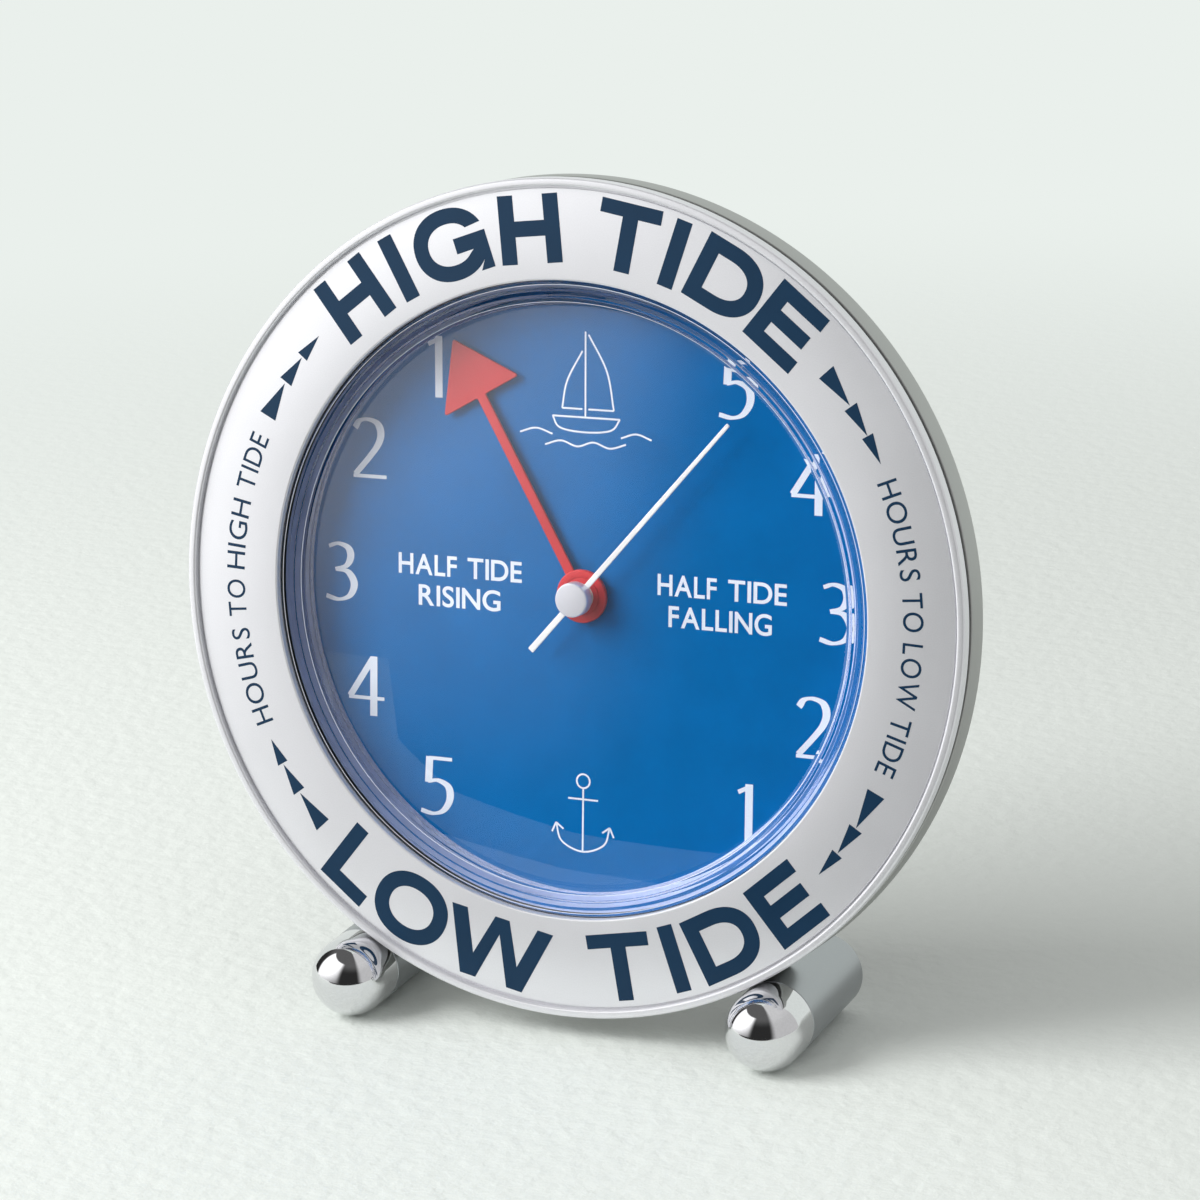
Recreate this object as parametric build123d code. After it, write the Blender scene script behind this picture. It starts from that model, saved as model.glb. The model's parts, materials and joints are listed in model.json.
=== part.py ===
from build123d import *
import math
import os

# Tide clock: a round metal drum that leans back a little on two round bar feet.
# Pieces of the drum are drawn on the bench: X to the right, Y towards the top of the dial,
# Z out of the face. Depths are counted back from the flat face of the front ring, so a
# depth of zero is that face. seated() then stands the drum up on its feet.

# Whole clock
drum_r = 76.2
lean_deg = 7.0
fit_gap = 0.05
part_gap = 0.1
overrun = 1.0

# Front ring and its raised lip
ring_face_w = 16.7
ring_t = 1.6
lip_w = 1.5
lip_rise = 1.0
lip_round = 0.45
ring_bore_break = 0.35

# Dark spacer that makes the shadow line behind the ring
spacer_t = 1.4
spacer_inset = 1.1

# Drum shell, a channel that opens inwards
shell_wall = 1.8
shell_front_t = 1.6
shell_rear_d = 10.5
shell_rear_t = 1.6
shell_rear_lap = 17.8
shell_rear_round = 2.0

# Crystal: stepped clear rim, skirt down to the dial, gently domed window
crystal_lap = 3.0
crystal_seat_gap = 0.3
crystal_flange_t = 1.0
crystal_rim_clear = 0.2
crystal_rim_w = 4.4
crystal_skirt_t = 2.2
crystal_skirt_out = 1.9
crystal_dome_front = 0.3
crystal_dome_wall = 1.9
crystal_bead_rise_shares = (1.3, 0.95, 1.35, 1.05, 1.45, 1.2, 2.1, 2.4)
crystal_bead_place_shares = (0.0, 0.14, 0.27, 0.41, 0.57, 0.68, 0.86, 1.0)
gasket_w = 2.0

# Dial plate and the rear plate that holds it
dial_lap = 6.0
dial_t = 0.8
dial_bore_r = 3.9
rear_plate_inset = 6.2
rear_plate_t = 1.6
cover_screw_inset = 2.8
cover_screw_count = 6
cover_screw_turn_deg = 30.0
screw_m3_r = 1.45
screw_m3_head_r = 2.75
screw_m3_head_t = 1.7
screw_slot_w = 0.7
screw_slot_d = 0.8
boss_wall = 1.7
boss_len = 3.0

# Movement housing
move_end_room = 2.0
move_corner_r = 3.0
move_wall = 1.4
move_floor = 1.2
pad_t = 0.8
pad_margin = 4.0
pad_bore_r = 8.0
move_depth = 14.9
lid_t = 1.5
bay_gap = 0.1
bay_wall = 1.0
ear_w = 9.0
ear_reach = 8.0
ear_t = 2.0
ear_screw_r = 1.2

# Cell and its contacts
cell_r = 7.2
cell_len = 49.2
cell_nub_r = 2.7
cell_nub_len = 1.2
contact_t = 0.35
contact_w = 9.0
contact_h = 10.0
contact_button_r = 2.2
contact_touch = 0.02
cell_rim_round = 0.6

# Centre bush
bush_bore_r = 2.52
bush_wall = 1.1
bush_flange_r = 5.8
bush_flange_t = 0.6

# Gear trains: teeth, modules and the layers that they run in
tooth_thick_share = 0.38
tooth_root_share = 0.56
tooth_tip_share = 0.20
tooth_add_share = 0.68
tooth_ded_share = 0.98
sweep_wheel_teeth = 60
inter_pinion_teeth = 10
inter_wheel_teeth = 60
rotor_pinion_teeth = 12
sweep_pinion_teeth = 9
third_wheel_teeth = 69
third_pinion_teeth = 10
centre_wheel_teeth = 81
cannon_teeth = 12
minute_wheel_teeth = 36
minute_pinion_teeth = 10
tide_wheel_teeth = 40
sweep_module = 0.2
rotor_module = 0.16
tide_module = 0.34
third_turn_deg = 160.0
inter_turn_deg = 92.0
rotor_turn_deg = 80.0
minute_turn_deg = 40.0
wheel_t = 0.6
pinion_t = 1.2
layer_step = 1.7
first_layer_gap = 0.15
pivot_depth = 0.5
shoulder_r = 1.35
arbor_r = 0.5
minute_arbor_r = 0.7
centre_sleeve_r = 0.95
magnet_r = 2.6
magnet_t = 1.6
magnet_gap = 0.4
bridge_t = 0.7
bridge_post_r = 1.4
bridge_post_shares = ((-0.24, 0.30), (0.23, 0.30), (-0.25, -0.12), (0.24, -0.12))

# Stator, coil and board
stator_t = 0.9
stator_w = 8.4
stator_len = 25.0
stator_leg_w = 4.0
stator_lug_r = 1.4
stator_lug_up_share = 0.4
coil_r = 2.8
coil_core_r = 1.5
coil_tube_wall = 0.4
coil_len = 15.0
coil_end_t = 0.8
coil_end_r = 3.1
coil_up = 9.9
board_w = 9.0
board_h = 22.0
board_t = 0.8
board_x = 20.5
board_y = 6.0
chip_side = 4.0
chip_t = 1.0
crystal_can_r = 1.0
crystal_can_len = 6.0

# Hands
tide_boss_r = 4.9
tide_boss_t = 0.9
tide_tube_r = 2.45
tide_tube_wall = 0.75
tide_tip_gap = 1.2
tide_hand_t = 0.5
tide_stem_w = 1.9
tide_head_len = 11.6
tide_head_half_w = 8.6
tide_hand_turn_deg = 29.6
tide_hand_clear = 0.8
sweep_short_by = 7.8
sweep_tail = 13.8
sweep_tip_w = 0.8
sweep_tail_w = 1.6
sweep_t = 0.3
sweep_turn_deg = -41.2
sweep_gap = 1.8
cap_r = 3.15
cap_t = 2.4
cap_round = 0.3
cap_neck_r = 2.2
cap_neck_len = 1.4

# Setting knob on the back
knob_r = 6.0
knob_t = 3.2
knob_gap = 0.6
knob_flutes = 18
knob_flute_r = 0.55
knob_round = 0.4

# Feet
foot_r = 7.35
foot_spread_share = 0.5433
foot_axis_out = 7.07
foot_front = 11.7
foot_cap_len = 4.8
foot_bar_len = 25.5
foot_rear_round = 0.9
foot_seam_break = 0.15
foot_stud_r = 2.0
foot_stud_len = 7.0
foot_lift = 0.3
pad_strip_w = 3.2
pad_strip_len = 20.0
pad_strip_t = 0.9
foot_screw_r = 1.2
foot_screw_reach = 4.35
foot_screw_end_gap = 0.2
foot_screw_head_r = 2.05
foot_screw_head_t = 1.6
foot_screw_hex_r = 0.9
saddle_gap = 0.1

# Radii and lengths that follow from the drum's radius
ring_bore_r = drum_r - lip_w - ring_face_w
crystal_flange_r = ring_bore_r + crystal_lap
crystal_window_r = ring_bore_r - crystal_rim_clear - crystal_rim_w
crystal_skirt_in_r = crystal_window_r + crystal_skirt_out
spacer_inner_r = crystal_flange_r + crystal_seat_gap
shell_rear_bore_r = drum_r - shell_rear_lap
dial_r = ring_bore_r + dial_lap
rear_plate_r = drum_r - rear_plate_inset
cover_screw_ring_r = rear_plate_r - cover_screw_inset
tide_hand_len = crystal_window_r - tide_tip_gap
sweep_len = tide_hand_len - sweep_short_by

# Feet: the drum lies between two bars whose axes run just outside it
foot_z = foot_r + foot_lift
foot_spread = drum_r * foot_spread_share
face_height = foot_z + math.sqrt((drum_r + foot_axis_out) ** 2 - foot_spread ** 2)

# Depths that follow from the sizes above
d_spacer = ring_t
d_shell = ring_t + spacer_t
d_dial = shell_rear_d
d_plate_floor = d_dial + dial_t
d_plate_back = d_plate_floor + rear_plate_t
d_move = d_plate_back + pad_t
d_move_in = d_move + move_floor
d_lid = d_move + move_depth
d_lid_back = d_lid + lid_t
d_knob = d_lid_back + knob_gap

# The movement is as long as its cell and contacts need
move_side = cell_len + 2 * (move_wall + move_end_room)

# Places in the movement
half_side = move_side / 2
cell_y = -half_side + move_wall + bay_gap + cell_r
bay_wall_y = cell_y + cell_r + bay_gap + bay_wall
d_cell = d_move_in + bay_gap + cell_r
third_dist = sweep_module * (sweep_pinion_teeth + third_wheel_teeth) / 2
third_module = 2 * third_dist / (third_pinion_teeth + centre_wheel_teeth)
inter_dist = sweep_module * (sweep_wheel_teeth + inter_pinion_teeth) / 2
rotor_dist = rotor_module * (inter_wheel_teeth + rotor_pinion_teeth) / 2
minute_dist = tide_module * (cannon_teeth + minute_wheel_teeth) / 2
tide_low_module = 2 * minute_dist / (minute_pinion_teeth + tide_wheel_teeth)


def polar(dist, turn_deg):
    # A place at this distance and angle, counted from the +X side.
    turn = math.radians(turn_deg)
    return dist * math.cos(turn), dist * math.sin(turn)


third_at = polar(third_dist, third_turn_deg)
inter_at = polar(inter_dist, inter_turn_deg)
rotor_step = polar(rotor_dist, rotor_turn_deg)
rotor_at = (inter_at[0] + rotor_step[0], inter_at[1] + rotor_step[1])
minute_at = polar(minute_dist, minute_turn_deg)

# Layers of the trains, front to back
d_bush_flange = d_move_in + bush_flange_t
d_tide_wheel = d_bush_flange + first_layer_gap
d_minute_wheel = d_tide_wheel + layer_step
d_centre_wheel = d_minute_wheel + layer_step
d_bridge = d_centre_wheel + layer_step - part_gap
d_third_wheel = d_bridge + bridge_t + 3 * part_gap
d_sweep_wheel = d_third_wheel + layer_step
d_inter_wheel = d_sweep_wheel + layer_step
d_magnet = d_inter_wheel + pinion_t
d_stator = d_magnet + (magnet_t - stator_t) / 2
d_pivot = d_lid + lid_t / 2

# Heights of the hands, as depths
d_boss_back = d_dial - tide_hand_clear
d_boss_front = d_boss_back - tide_boss_t
d_sweep_back = d_boss_front - sweep_gap
d_cap_back = d_sweep_back + cap_neck_len
d_cap_front = d_sweep_back - sweep_t - cap_t


standing = (Align.CENTER, Align.CENTER, Align.MIN)


def rod(radius, d_front, d_back, x=0, y=0):
    # A round solid along the axis of the drum, between two depths.
    body = Cylinder(radius, d_back - d_front, align=standing)
    return Pos(x, y, -d_back) * body


def tube(outer_r, inner_r, d_front, d_back, x=0, y=0):
    body = rod(outer_r, d_front, d_back, x, y)
    return body - rod(inner_r, d_front - overrun, d_back + overrun, x, y)


def slab(width, height, d_front, d_back, x=0, y=0):
    # A square block between two depths, centred on x and y.
    body = Box(width, height, d_back - d_front, align=standing)
    return Pos(x, y, -d_back) * body


def plate(sketch, d_front, d_back):
    return Pos(0, 0, -d_back) * extrude(sketch, d_back - d_front)


def turned(points, rounds=()):
    # A body of revolution from (radius, depth) corners. Each round names a corner and its size.
    profile = make_face(Polyline(*[(r, -d) for r, d in points], close=True))
    for r, d, size in rounds:
        corner = profile.vertices().sort_by_distance((r, -d))[0]
        profile = fillet([corner], size)
    return revolve(Plane.XZ * profile, Axis.Z)


def circle_edges_at(body, radius, d):
    # Round edges of this radius that lie at this depth.
    found = body.edges().filter_by(GeomType.CIRCLE)
    found = found.filter_by(lambda e: abs(e.radius - radius) < fit_gap)
    return found.filter_by(lambda e: abs(e.center().Z + d) < fit_gap)


def front_ring():
    lip_in_r = drum_r - lip_w
    points = [(ring_bore_r, ring_t), (ring_bore_r, 0), (lip_in_r, 0), (lip_in_r, -lip_rise)]
    points = points + [(drum_r, -lip_rise), (drum_r, ring_t)]
    rounds = [(ring_bore_r, 0, ring_bore_break), (lip_in_r, -lip_rise, lip_round)]
    return turned(points, rounds + [(drum_r, -lip_rise, lip_round)])


def shadow_spacer():
    return tube(drum_r - spacer_inset, spacer_inner_r, d_spacer, d_shell)


def cover_screw_places():
    step = 360 / cover_screw_count
    return [polar(cover_screw_ring_r, cover_screw_turn_deg + step * i) for i in range(cover_screw_count)]


def drum_shell():
    wall_in_r = drum_r - shell_wall
    front_in_r = crystal_flange_r - gasket_w
    d_front_in = d_shell + shell_front_t
    d_rear_in = shell_rear_d - shell_rear_t
    points = [(drum_r, d_shell), (drum_r, shell_rear_d), (shell_rear_bore_r, shell_rear_d)]
    points = points + [(shell_rear_bore_r, d_rear_in), (wall_in_r, d_rear_in), (wall_in_r, d_front_in)]
    points = points + [(front_in_r, d_front_in), (front_in_r, d_shell)]
    body = turned(points, [(drum_r, shell_rear_d, shell_rear_round)])
    for x, y in cover_screw_places():
        body = body + rod(screw_m3_r + boss_wall, d_rear_in - boss_len, d_rear_in + shell_rear_t / 2, x, y)
        body = body - rod(screw_m3_r + fit_gap, d_rear_in - boss_len - overrun, shell_rear_d + overrun, x, y)
    for side in (-1, 1):
        body = body - foot_screw_hole(side)
    return body


def crystal_profile():
    rim_out_r = ring_bore_r - crystal_rim_clear
    skirt_out_r = crystal_skirt_in_r + crystal_skirt_t
    d_flange_back = ring_t + crystal_flange_t
    rim_w = rim_out_r - crystal_window_r
    outline = [(crystal_flange_r, d_flange_back), (crystal_flange_r, ring_t), (rim_out_r, ring_t)]
    for place, rise in zip(crystal_bead_place_shares, crystal_bead_rise_shares):
        outline.append((rim_out_r - rim_w * place, rise * crystal_flange_t))
    return outline, skirt_out_r, d_flange_back


def cap_arc(edge_r, edge_z, top_z):
    # An arc from a rim up to the axis, that meets the axis square on.
    rise = top_z - edge_z
    radius = (edge_r ** 2 + rise ** 2) / (2 * rise)
    mid_z = top_z - radius + math.sqrt(radius ** 2 - (edge_r / 2) ** 2)
    return ThreePointArc((edge_r, edge_z), (edge_r / 2, mid_z), (0, top_z))


def crystal():
    outline, skirt_out_r, d_flange_back = crystal_profile()
    edge_r, edge_d = outline[-1]
    bevel = crystal_skirt_t / 2
    inner_r = crystal_skirt_in_r - bevel
    inner_d = edge_d + crystal_dome_wall + bevel
    inner_top = crystal_dome_front - crystal_dome_wall
    d_end = d_dial - part_gap
    skirt = [(inner_r, -inner_d), (crystal_skirt_in_r, -inner_d - bevel), (crystal_skirt_in_r, -d_end)]
    skirt = skirt + [(skirt_out_r, -d_end), (skirt_out_r, -d_flange_back)]
    skirt = skirt + [(crystal_flange_r, -d_flange_back)]
    edges = Polyline(*[(r, -d) for r, d in outline]).edges() + Polyline(*skirt).edges()
    edges = edges + [cap_arc(edge_r, -edge_d, crystal_dome_front), cap_arc(inner_r, -inner_d, inner_top)]
    edges = edges + [Line((0, crystal_dome_front), (0, inner_top))]
    return revolve(Plane.XZ * make_face(edges), Axis.Z)


def crystal_gasket():
    d_front = ring_t + crystal_flange_t
    return tube(crystal_flange_r - part_gap, crystal_flange_r - gasket_w, d_front, d_shell)


def dial_plate():
    return tube(dial_r, dial_bore_r, d_dial, d_plate_floor)


def move_screw_places():
    reach = half_side + ear_reach / 2
    return [(-reach, 0), (reach, 0)]


def rear_plate():
    body = rod(rear_plate_r, d_dial, d_plate_back)
    body = body - rod(dial_r + part_gap, d_dial - overrun, d_plate_floor)
    body = body - rod(dial_bore_r, d_dial, d_plate_back + overrun)
    for x, y in cover_screw_places():
        body = body - rod(screw_m3_r + part_gap, d_dial - overrun, d_plate_back + overrun, x, y)
    for x, y in move_screw_places():
        body = body + rod(ear_screw_r + boss_wall, d_plate_back - part_gap, d_move, x, y)
        body = body - rod(ear_screw_r + fit_gap, d_plate_floor + rear_plate_t / 4, d_move + overrun, x, y)
    return body


def round_head_screw(x, y, d_seat, shank_r, shank_len, head_r, head_t):
    # A screw put in from behind: its shank runs forward from the seat of the head.
    body = rod(shank_r, d_seat - shank_len, d_seat, x, y) + rod(head_r, d_seat, d_seat + head_t, x, y)
    d_slot = d_seat + head_t - screw_slot_d
    body = body - slab(2 * head_r + overrun, screw_slot_w, d_slot, d_slot + 2 * screw_slot_d, x, y)
    return body - slab(screw_slot_w, 2 * head_r + overrun, d_slot, d_slot + 2 * screw_slot_d, x, y)


def cover_screws():
    length = rear_plate_t + dial_t + shell_rear_t + boss_len - part_gap
    places = cover_screw_places()
    made = [round_head_screw(x, y, d_plate_back, screw_m3_r, length, screw_m3_head_r, screw_m3_head_t)
            for x, y in places]
    return Compound(children=made)


def movement_screws():
    length = ear_t + pad_t + rear_plate_t / 2
    head_t = screw_m3_head_t * ear_screw_r / screw_m3_r
    made = [round_head_screw(x, y, d_move + ear_t, ear_screw_r, length, screw_m3_head_r - fit_gap, head_t)
            for x, y in move_screw_places()]
    return Compound(children=made)


def movement_pad():
    side = move_side - pad_margin
    return slab(side, side, d_plate_back, d_move) - rod(pad_bore_r, d_plate_back - overrun, d_move + overrun)


def bridge_posts():
    return [(sx * move_side, sy * move_side) for sx, sy in bridge_post_shares]


def movement_base():
    outline = RectangleRounded(move_side, move_side, move_corner_r)
    inner_side = move_side - 2 * move_wall
    inside = RectangleRounded(inner_side, inner_side, move_corner_r - move_wall)
    body = plate(outline, d_move, d_lid) - plate(inside, d_move_in, d_lid + overrun)
    wall_y = bay_wall_y - bay_wall / 2
    body = body + slab(inner_side + part_gap, bay_wall, d_move_in - part_gap, d_lid, 0, wall_y)
    for x, y in move_screw_places():
        inward = -math.copysign(ear_reach / 4, x)
        body = body + slab(ear_reach * 3 / 2, ear_w, d_move, d_move + ear_t, x + inward, y)
    body = body - plate(inside, d_move_in, d_lid + overrun)
    body = body + slab(inner_side + part_gap, bay_wall, d_move_in - part_gap, d_lid, 0, wall_y)
    for x, y in move_screw_places():
        body = body - rod(ear_screw_r + part_gap, d_move - overrun, d_move + ear_t + overrun, x, y)
    for x, y in bridge_posts():
        body = body + rod(bridge_post_r, d_move_in - part_gap, d_bridge, x, y)
    for x, y, radius in ((*third_at, arbor_r), (*minute_at, minute_arbor_r)):
        body = body - rod(radius + fit_gap, d_move_in - pivot_depth - fit_gap, d_move_in + overrun, x, y)
    return body - rod(bush_bore_r + bush_wall + fit_gap, d_move - overrun, d_move_in + overrun)


def centre_bush():
    d_tip = d_dial + dial_t / 2
    outer_r = bush_bore_r + bush_wall
    body = rod(outer_r, d_tip, d_bush_flange) + rod(bush_flange_r, d_move_in, d_bush_flange)
    return body - rod(bush_bore_r, d_tip - overrun, d_bush_flange + overrun)


def movement_lid():
    height = half_side - bay_wall_y + bay_wall
    mid_y = half_side - height / 2
    outline = Pos(0, mid_y) * RectangleRounded(move_side, height, move_corner_r - fit_gap)
    body = plate(outline, d_lid, d_lid_back)
    for x, y in ((0, 0), third_at, inter_at, rotor_at):
        body = body + rod(shoulder_r, d_lid - part_gap, d_lid + part_gap, x, y)
        body = body - rod(arbor_r + fit_gap, d_lid - overrun, d_pivot, x, y)
    for x, y in stator_lugs():
        body = body + rod(stator_lug_r, d_stator + stator_t, d_lid + part_gap, x, y)
    return body - rod(minute_arbor_r + fit_gap, d_lid - overrun, d_lid_back + overrun, *minute_at)


def battery_cell():
    lift = cell_nub_len / 2
    can = Cylinder(cell_r, cell_len)
    can = fillet(can.edges().filter_by(GeomType.CIRCLE), cell_rim_round)
    nub_z = cell_len / 2 + cell_nub_len / 2
    nub = Pos(0, 0, nub_z) * Cylinder(cell_nub_r, cell_nub_len)
    return Pos(-lift, cell_y, -d_cell) * Rot(0, 90, 0) * (can + nub)


def battery_contacts():
    # A plate with a button for the nub, and a bent leaf for the flat end.
    wall_x = half_side - move_wall
    end_x = cell_len / 2 + cell_nub_len / 2 + contact_touch
    plus = Pos(wall_x - contact_t / 2, cell_y, -d_cell) * Box(contact_t, contact_h, contact_w)
    button_len = wall_x - end_x
    button = Rot(0, 90, 0) * Cylinder(contact_button_r, button_len)
    plus = plus + Pos(end_x + button_len / 2, cell_y, -d_cell) * button
    half_h = contact_h / 2
    bent = [(-wall_x, -half_h), (-wall_x + contact_t, -half_h), (-end_x, -contact_t), (-end_x, contact_t)]
    bent = bent + [(-wall_x + contact_t, half_h), (-wall_x, half_h), (-end_x - contact_t, 0)]
    leaf = extrude(make_face(Polyline(*bent, close=True)), contact_w)
    leaf = Pos(0, cell_y, -d_cell - contact_w / 2) * leaf
    return Compound(children=[plus, leaf])


def gear_face(teeth, module, phase_deg):
    # Teeth with straight flanks, thin enough to run free of the gear they mesh with.
    pitch_r = module * teeth / 2
    root_r = pitch_r - tooth_ded_share * module
    tip_r = pitch_r + tooth_add_share * module
    step = 2 * math.pi / teeth
    rows = ((root_r, -tooth_root_share), (pitch_r, -tooth_thick_share), (tip_r, -tooth_tip_share))
    rows = rows + ((tip_r, tooth_tip_share), (pitch_r, tooth_thick_share), (root_r, tooth_root_share))
    corners = []
    for i in range(teeth):
        mid = math.radians(phase_deg) + i * step
        for radius, half_share in rows:
            turn = mid + half_share * step / 2
            corners.append((radius * math.cos(turn), radius * math.sin(turn)))
    return make_face(Polyline(*corners, close=True))


def mesh_phase(teeth_1, phase_1, teeth_2, heading_deg):
    # The turn that puts a gap of gear 2 on the tooth of gear 1, seen along the heading.
    return heading_deg + 180 + 180 / teeth_2 - (phase_1 - heading_deg) * teeth_1 / teeth_2


def gear(teeth, module, phase_deg, d_front, thick, at=(0, 0)):
    face = gear_face(teeth, module, phase_deg)
    return Pos(at[0], at[1], 0) * plate(face, d_front, d_front + thick)


def lightened(body, module, teeth, d_front, hub_r, at=(0, 0)):
    # Four windows between the rim and the hub.
    rim_r = module * teeth / 2 - 2 * tooth_ded_share * module
    window_r = (rim_r - hub_r) / 2 * 0.8
    mid_r = (rim_r + hub_r) / 2
    for i in range(5):
        x, y = polar(mid_r, 72 * i)
        body = body - rod(window_r, d_front - overrun, d_front + wheel_t + overrun, at[0] + x, at[1] + y)
    return body


def tide_wheel():
    heading = minute_turn_deg + 180
    phase = mesh_phase(minute_pinion_teeth, 0, tide_wheel_teeth, heading)
    body = gear(tide_wheel_teeth, tide_low_module, phase, d_tide_wheel, wheel_t)
    body = body + rod(tide_tube_r, d_boss_front - part_gap, d_tide_wheel + wheel_t)
    return body - rod(tide_tube_r - tide_tube_wall, d_boss_front - overrun, d_tide_wheel + overrun)


def cannon_pinion():
    d_front = d_minute_wheel - (pinion_t - wheel_t) / 2
    body = gear(cannon_teeth, tide_module, 0, d_front, pinion_t)
    body = body + rod(shoulder_r, d_tide_wheel + wheel_t + part_gap, d_front)
    return body - rod(centre_sleeve_r + fit_gap, d_tide_wheel, d_centre_wheel + overrun)


def minute_wheel():
    phase = mesh_phase(cannon_teeth, 0, minute_wheel_teeth, minute_turn_deg)
    body = gear(minute_wheel_teeth, tide_module, phase, d_minute_wheel, wheel_t, minute_at)
    body = lightened(body, tide_module, minute_wheel_teeth, d_minute_wheel, 2 * minute_arbor_r, minute_at)
    d_pinion = d_tide_wheel - (pinion_t - wheel_t) / 2
    body = body + gear(minute_pinion_teeth, tide_low_module, 0, d_pinion, d_minute_wheel - d_pinion, minute_at)
    return body + rod(minute_arbor_r, d_move_in - pivot_depth, d_knob + knob_t / 2, *minute_at)


def centre_wheel():
    heading = third_turn_deg + 180
    phase = mesh_phase(third_pinion_teeth, 0, centre_wheel_teeth, heading)
    body = gear(centre_wheel_teeth, third_module, phase, d_centre_wheel, wheel_t)
    body = lightened(body, third_module, centre_wheel_teeth, d_centre_wheel, 2 * centre_sleeve_r)
    d_cannon_back = d_minute_wheel + (pinion_t + wheel_t) / 2
    body = body + rod(shoulder_r, d_cannon_back + fit_gap, d_bridge - part_gap)
    body = body + rod(centre_sleeve_r, d_minute_wheel - wheel_t, d_bridge + bridge_t)
    return body - rod(arbor_r + fit_gap, d_minute_wheel - overrun, d_bridge + bridge_t + overrun)


def third_wheel():
    phase = mesh_phase(sweep_pinion_teeth, 0, third_wheel_teeth, third_turn_deg)
    body = gear(third_wheel_teeth, sweep_module, phase, d_third_wheel, wheel_t, third_at)
    body = lightened(body, sweep_module, third_wheel_teeth, d_third_wheel, 2 * arbor_r, third_at)
    d_pinion = d_centre_wheel - (pinion_t - wheel_t) / 2
    body = body + gear(third_pinion_teeth, third_module, 0, d_pinion, pinion_t, third_at)
    body = body + rod(shoulder_r, d_bridge + bridge_t + part_gap, d_third_wheel + wheel_t * 2, *third_at)
    return body + rod(arbor_r, d_move_in - pivot_depth, d_pivot - part_gap, *third_at)


def sweep_wheel():
    body = gear(sweep_wheel_teeth, sweep_module, 0, d_sweep_wheel, wheel_t)
    body = lightened(body, sweep_module, sweep_wheel_teeth, d_sweep_wheel, 2 * arbor_r)
    d_pinion = d_bridge + bridge_t + part_gap
    body = body + gear(sweep_pinion_teeth, sweep_module, 0, d_pinion, d_sweep_wheel - d_pinion)
    return body + rod(arbor_r, d_cap_front + cap_t / 2, d_pivot - part_gap)


def intermediate_wheel():
    phase = mesh_phase(sweep_wheel_teeth, 0, inter_pinion_teeth, inter_turn_deg)
    d_pinion = d_sweep_wheel - (pinion_t - wheel_t) / 2
    body = gear(inter_pinion_teeth, sweep_module, phase, d_pinion, d_inter_wheel - d_pinion, inter_at)
    wheel = gear(inter_wheel_teeth, rotor_module, 0, d_inter_wheel, wheel_t, inter_at)
    body = body + lightened(wheel, rotor_module, inter_wheel_teeth, d_inter_wheel, 2 * arbor_r, inter_at)
    return body + rod(arbor_r, d_bridge + fit_gap, d_pivot - part_gap, *inter_at)


def rotor():
    phase = mesh_phase(inter_wheel_teeth, 0, rotor_pinion_teeth, rotor_turn_deg)
    d_pinion = d_inter_wheel - (pinion_t - wheel_t) / 2
    body = gear(rotor_pinion_teeth, rotor_module, phase, d_pinion, d_magnet - d_pinion, rotor_at)
    body = body + rod(magnet_r, d_magnet, d_magnet + magnet_t, *rotor_at)
    return body + rod(arbor_r, d_bridge + fit_gap, d_pivot - part_gap, *rotor_at)


def wheel_bridge():
    posts = bridge_posts()
    xs = [x for x, y in posts]
    ys = [y for x, y in posts]
    reach = 2 * (bridge_post_r + part_gap)
    width = max(xs) - min(xs) + reach
    height = max(ys) - min(ys) + reach
    mid = ((max(xs) + min(xs)) / 2, (max(ys) + min(ys)) / 2)
    body = slab(width, height, d_bridge, d_bridge + bridge_t, *mid)
    body = body - rod(centre_sleeve_r + fit_gap, d_bridge - overrun, d_bridge + 2 * overrun)
    body = body - rod(arbor_r + fit_gap, d_bridge - overrun, d_bridge + 2 * overrun, *third_at)
    body = body - rod(arbor_r + fit_gap, d_bridge - overrun, d_bridge + 2 * overrun, *inter_at)
    body = body - rod(arbor_r + fit_gap, d_bridge - overrun, d_bridge + 2 * overrun, *rotor_at)
    return body - rod(minute_arbor_r + fit_gap, d_bridge - overrun, d_bridge + 2 * overrun, *minute_at)


def stator_legs():
    reach = (stator_len - stator_leg_w) / 2
    return [(rotor_at[0] + side * reach, rotor_at[1]) for side in (-1, 1)]


def stator_lugs():
    # Where the lid presses the stator down.
    return [(x, y + coil_up * stator_lug_up_share) for x, y in stator_legs()]


def stator():
    # Steel plate round the magnet, with two legs that carry the coil's core.
    d_back = d_stator + stator_t
    leg_len = coil_up + coil_end_r
    body = slab(stator_len, stator_w, d_stator, d_back, *rotor_at)
    for x, y in stator_legs():
        body = body + slab(stator_leg_w, leg_len, d_stator, d_back, x, y + leg_len / 2)
    return body - rod(magnet_r + magnet_gap, d_stator - overrun, d_back + overrun, *rotor_at)


def across_coil(body):
    # Lays a body drawn along Z onto the coil's axis, in front of the stator's legs.
    return Pos(rotor_at[0], rotor_at[1] + coil_up, coil_core_r - d_stator) * Rot(0, 90, 0) * body


def coil_core():
    return across_coil(Cylinder(coil_core_r, stator_len))


def coil_bobbin():
    body = Cylinder(coil_core_r + coil_tube_wall, coil_len + coil_end_t)
    for side in (-1, 1):
        end_z = side * (coil_len + coil_end_t) / 2
        body = body + Pos(0, 0, end_z) * Cylinder(coil_end_r, coil_end_t)
    return across_coil(body - Cylinder(coil_core_r, stator_len))


def coil_winding():
    tube_r = coil_core_r + coil_tube_wall
    return across_coil(Cylinder(coil_r, coil_len) - Cylinder(tube_r, coil_len + overrun))


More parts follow.
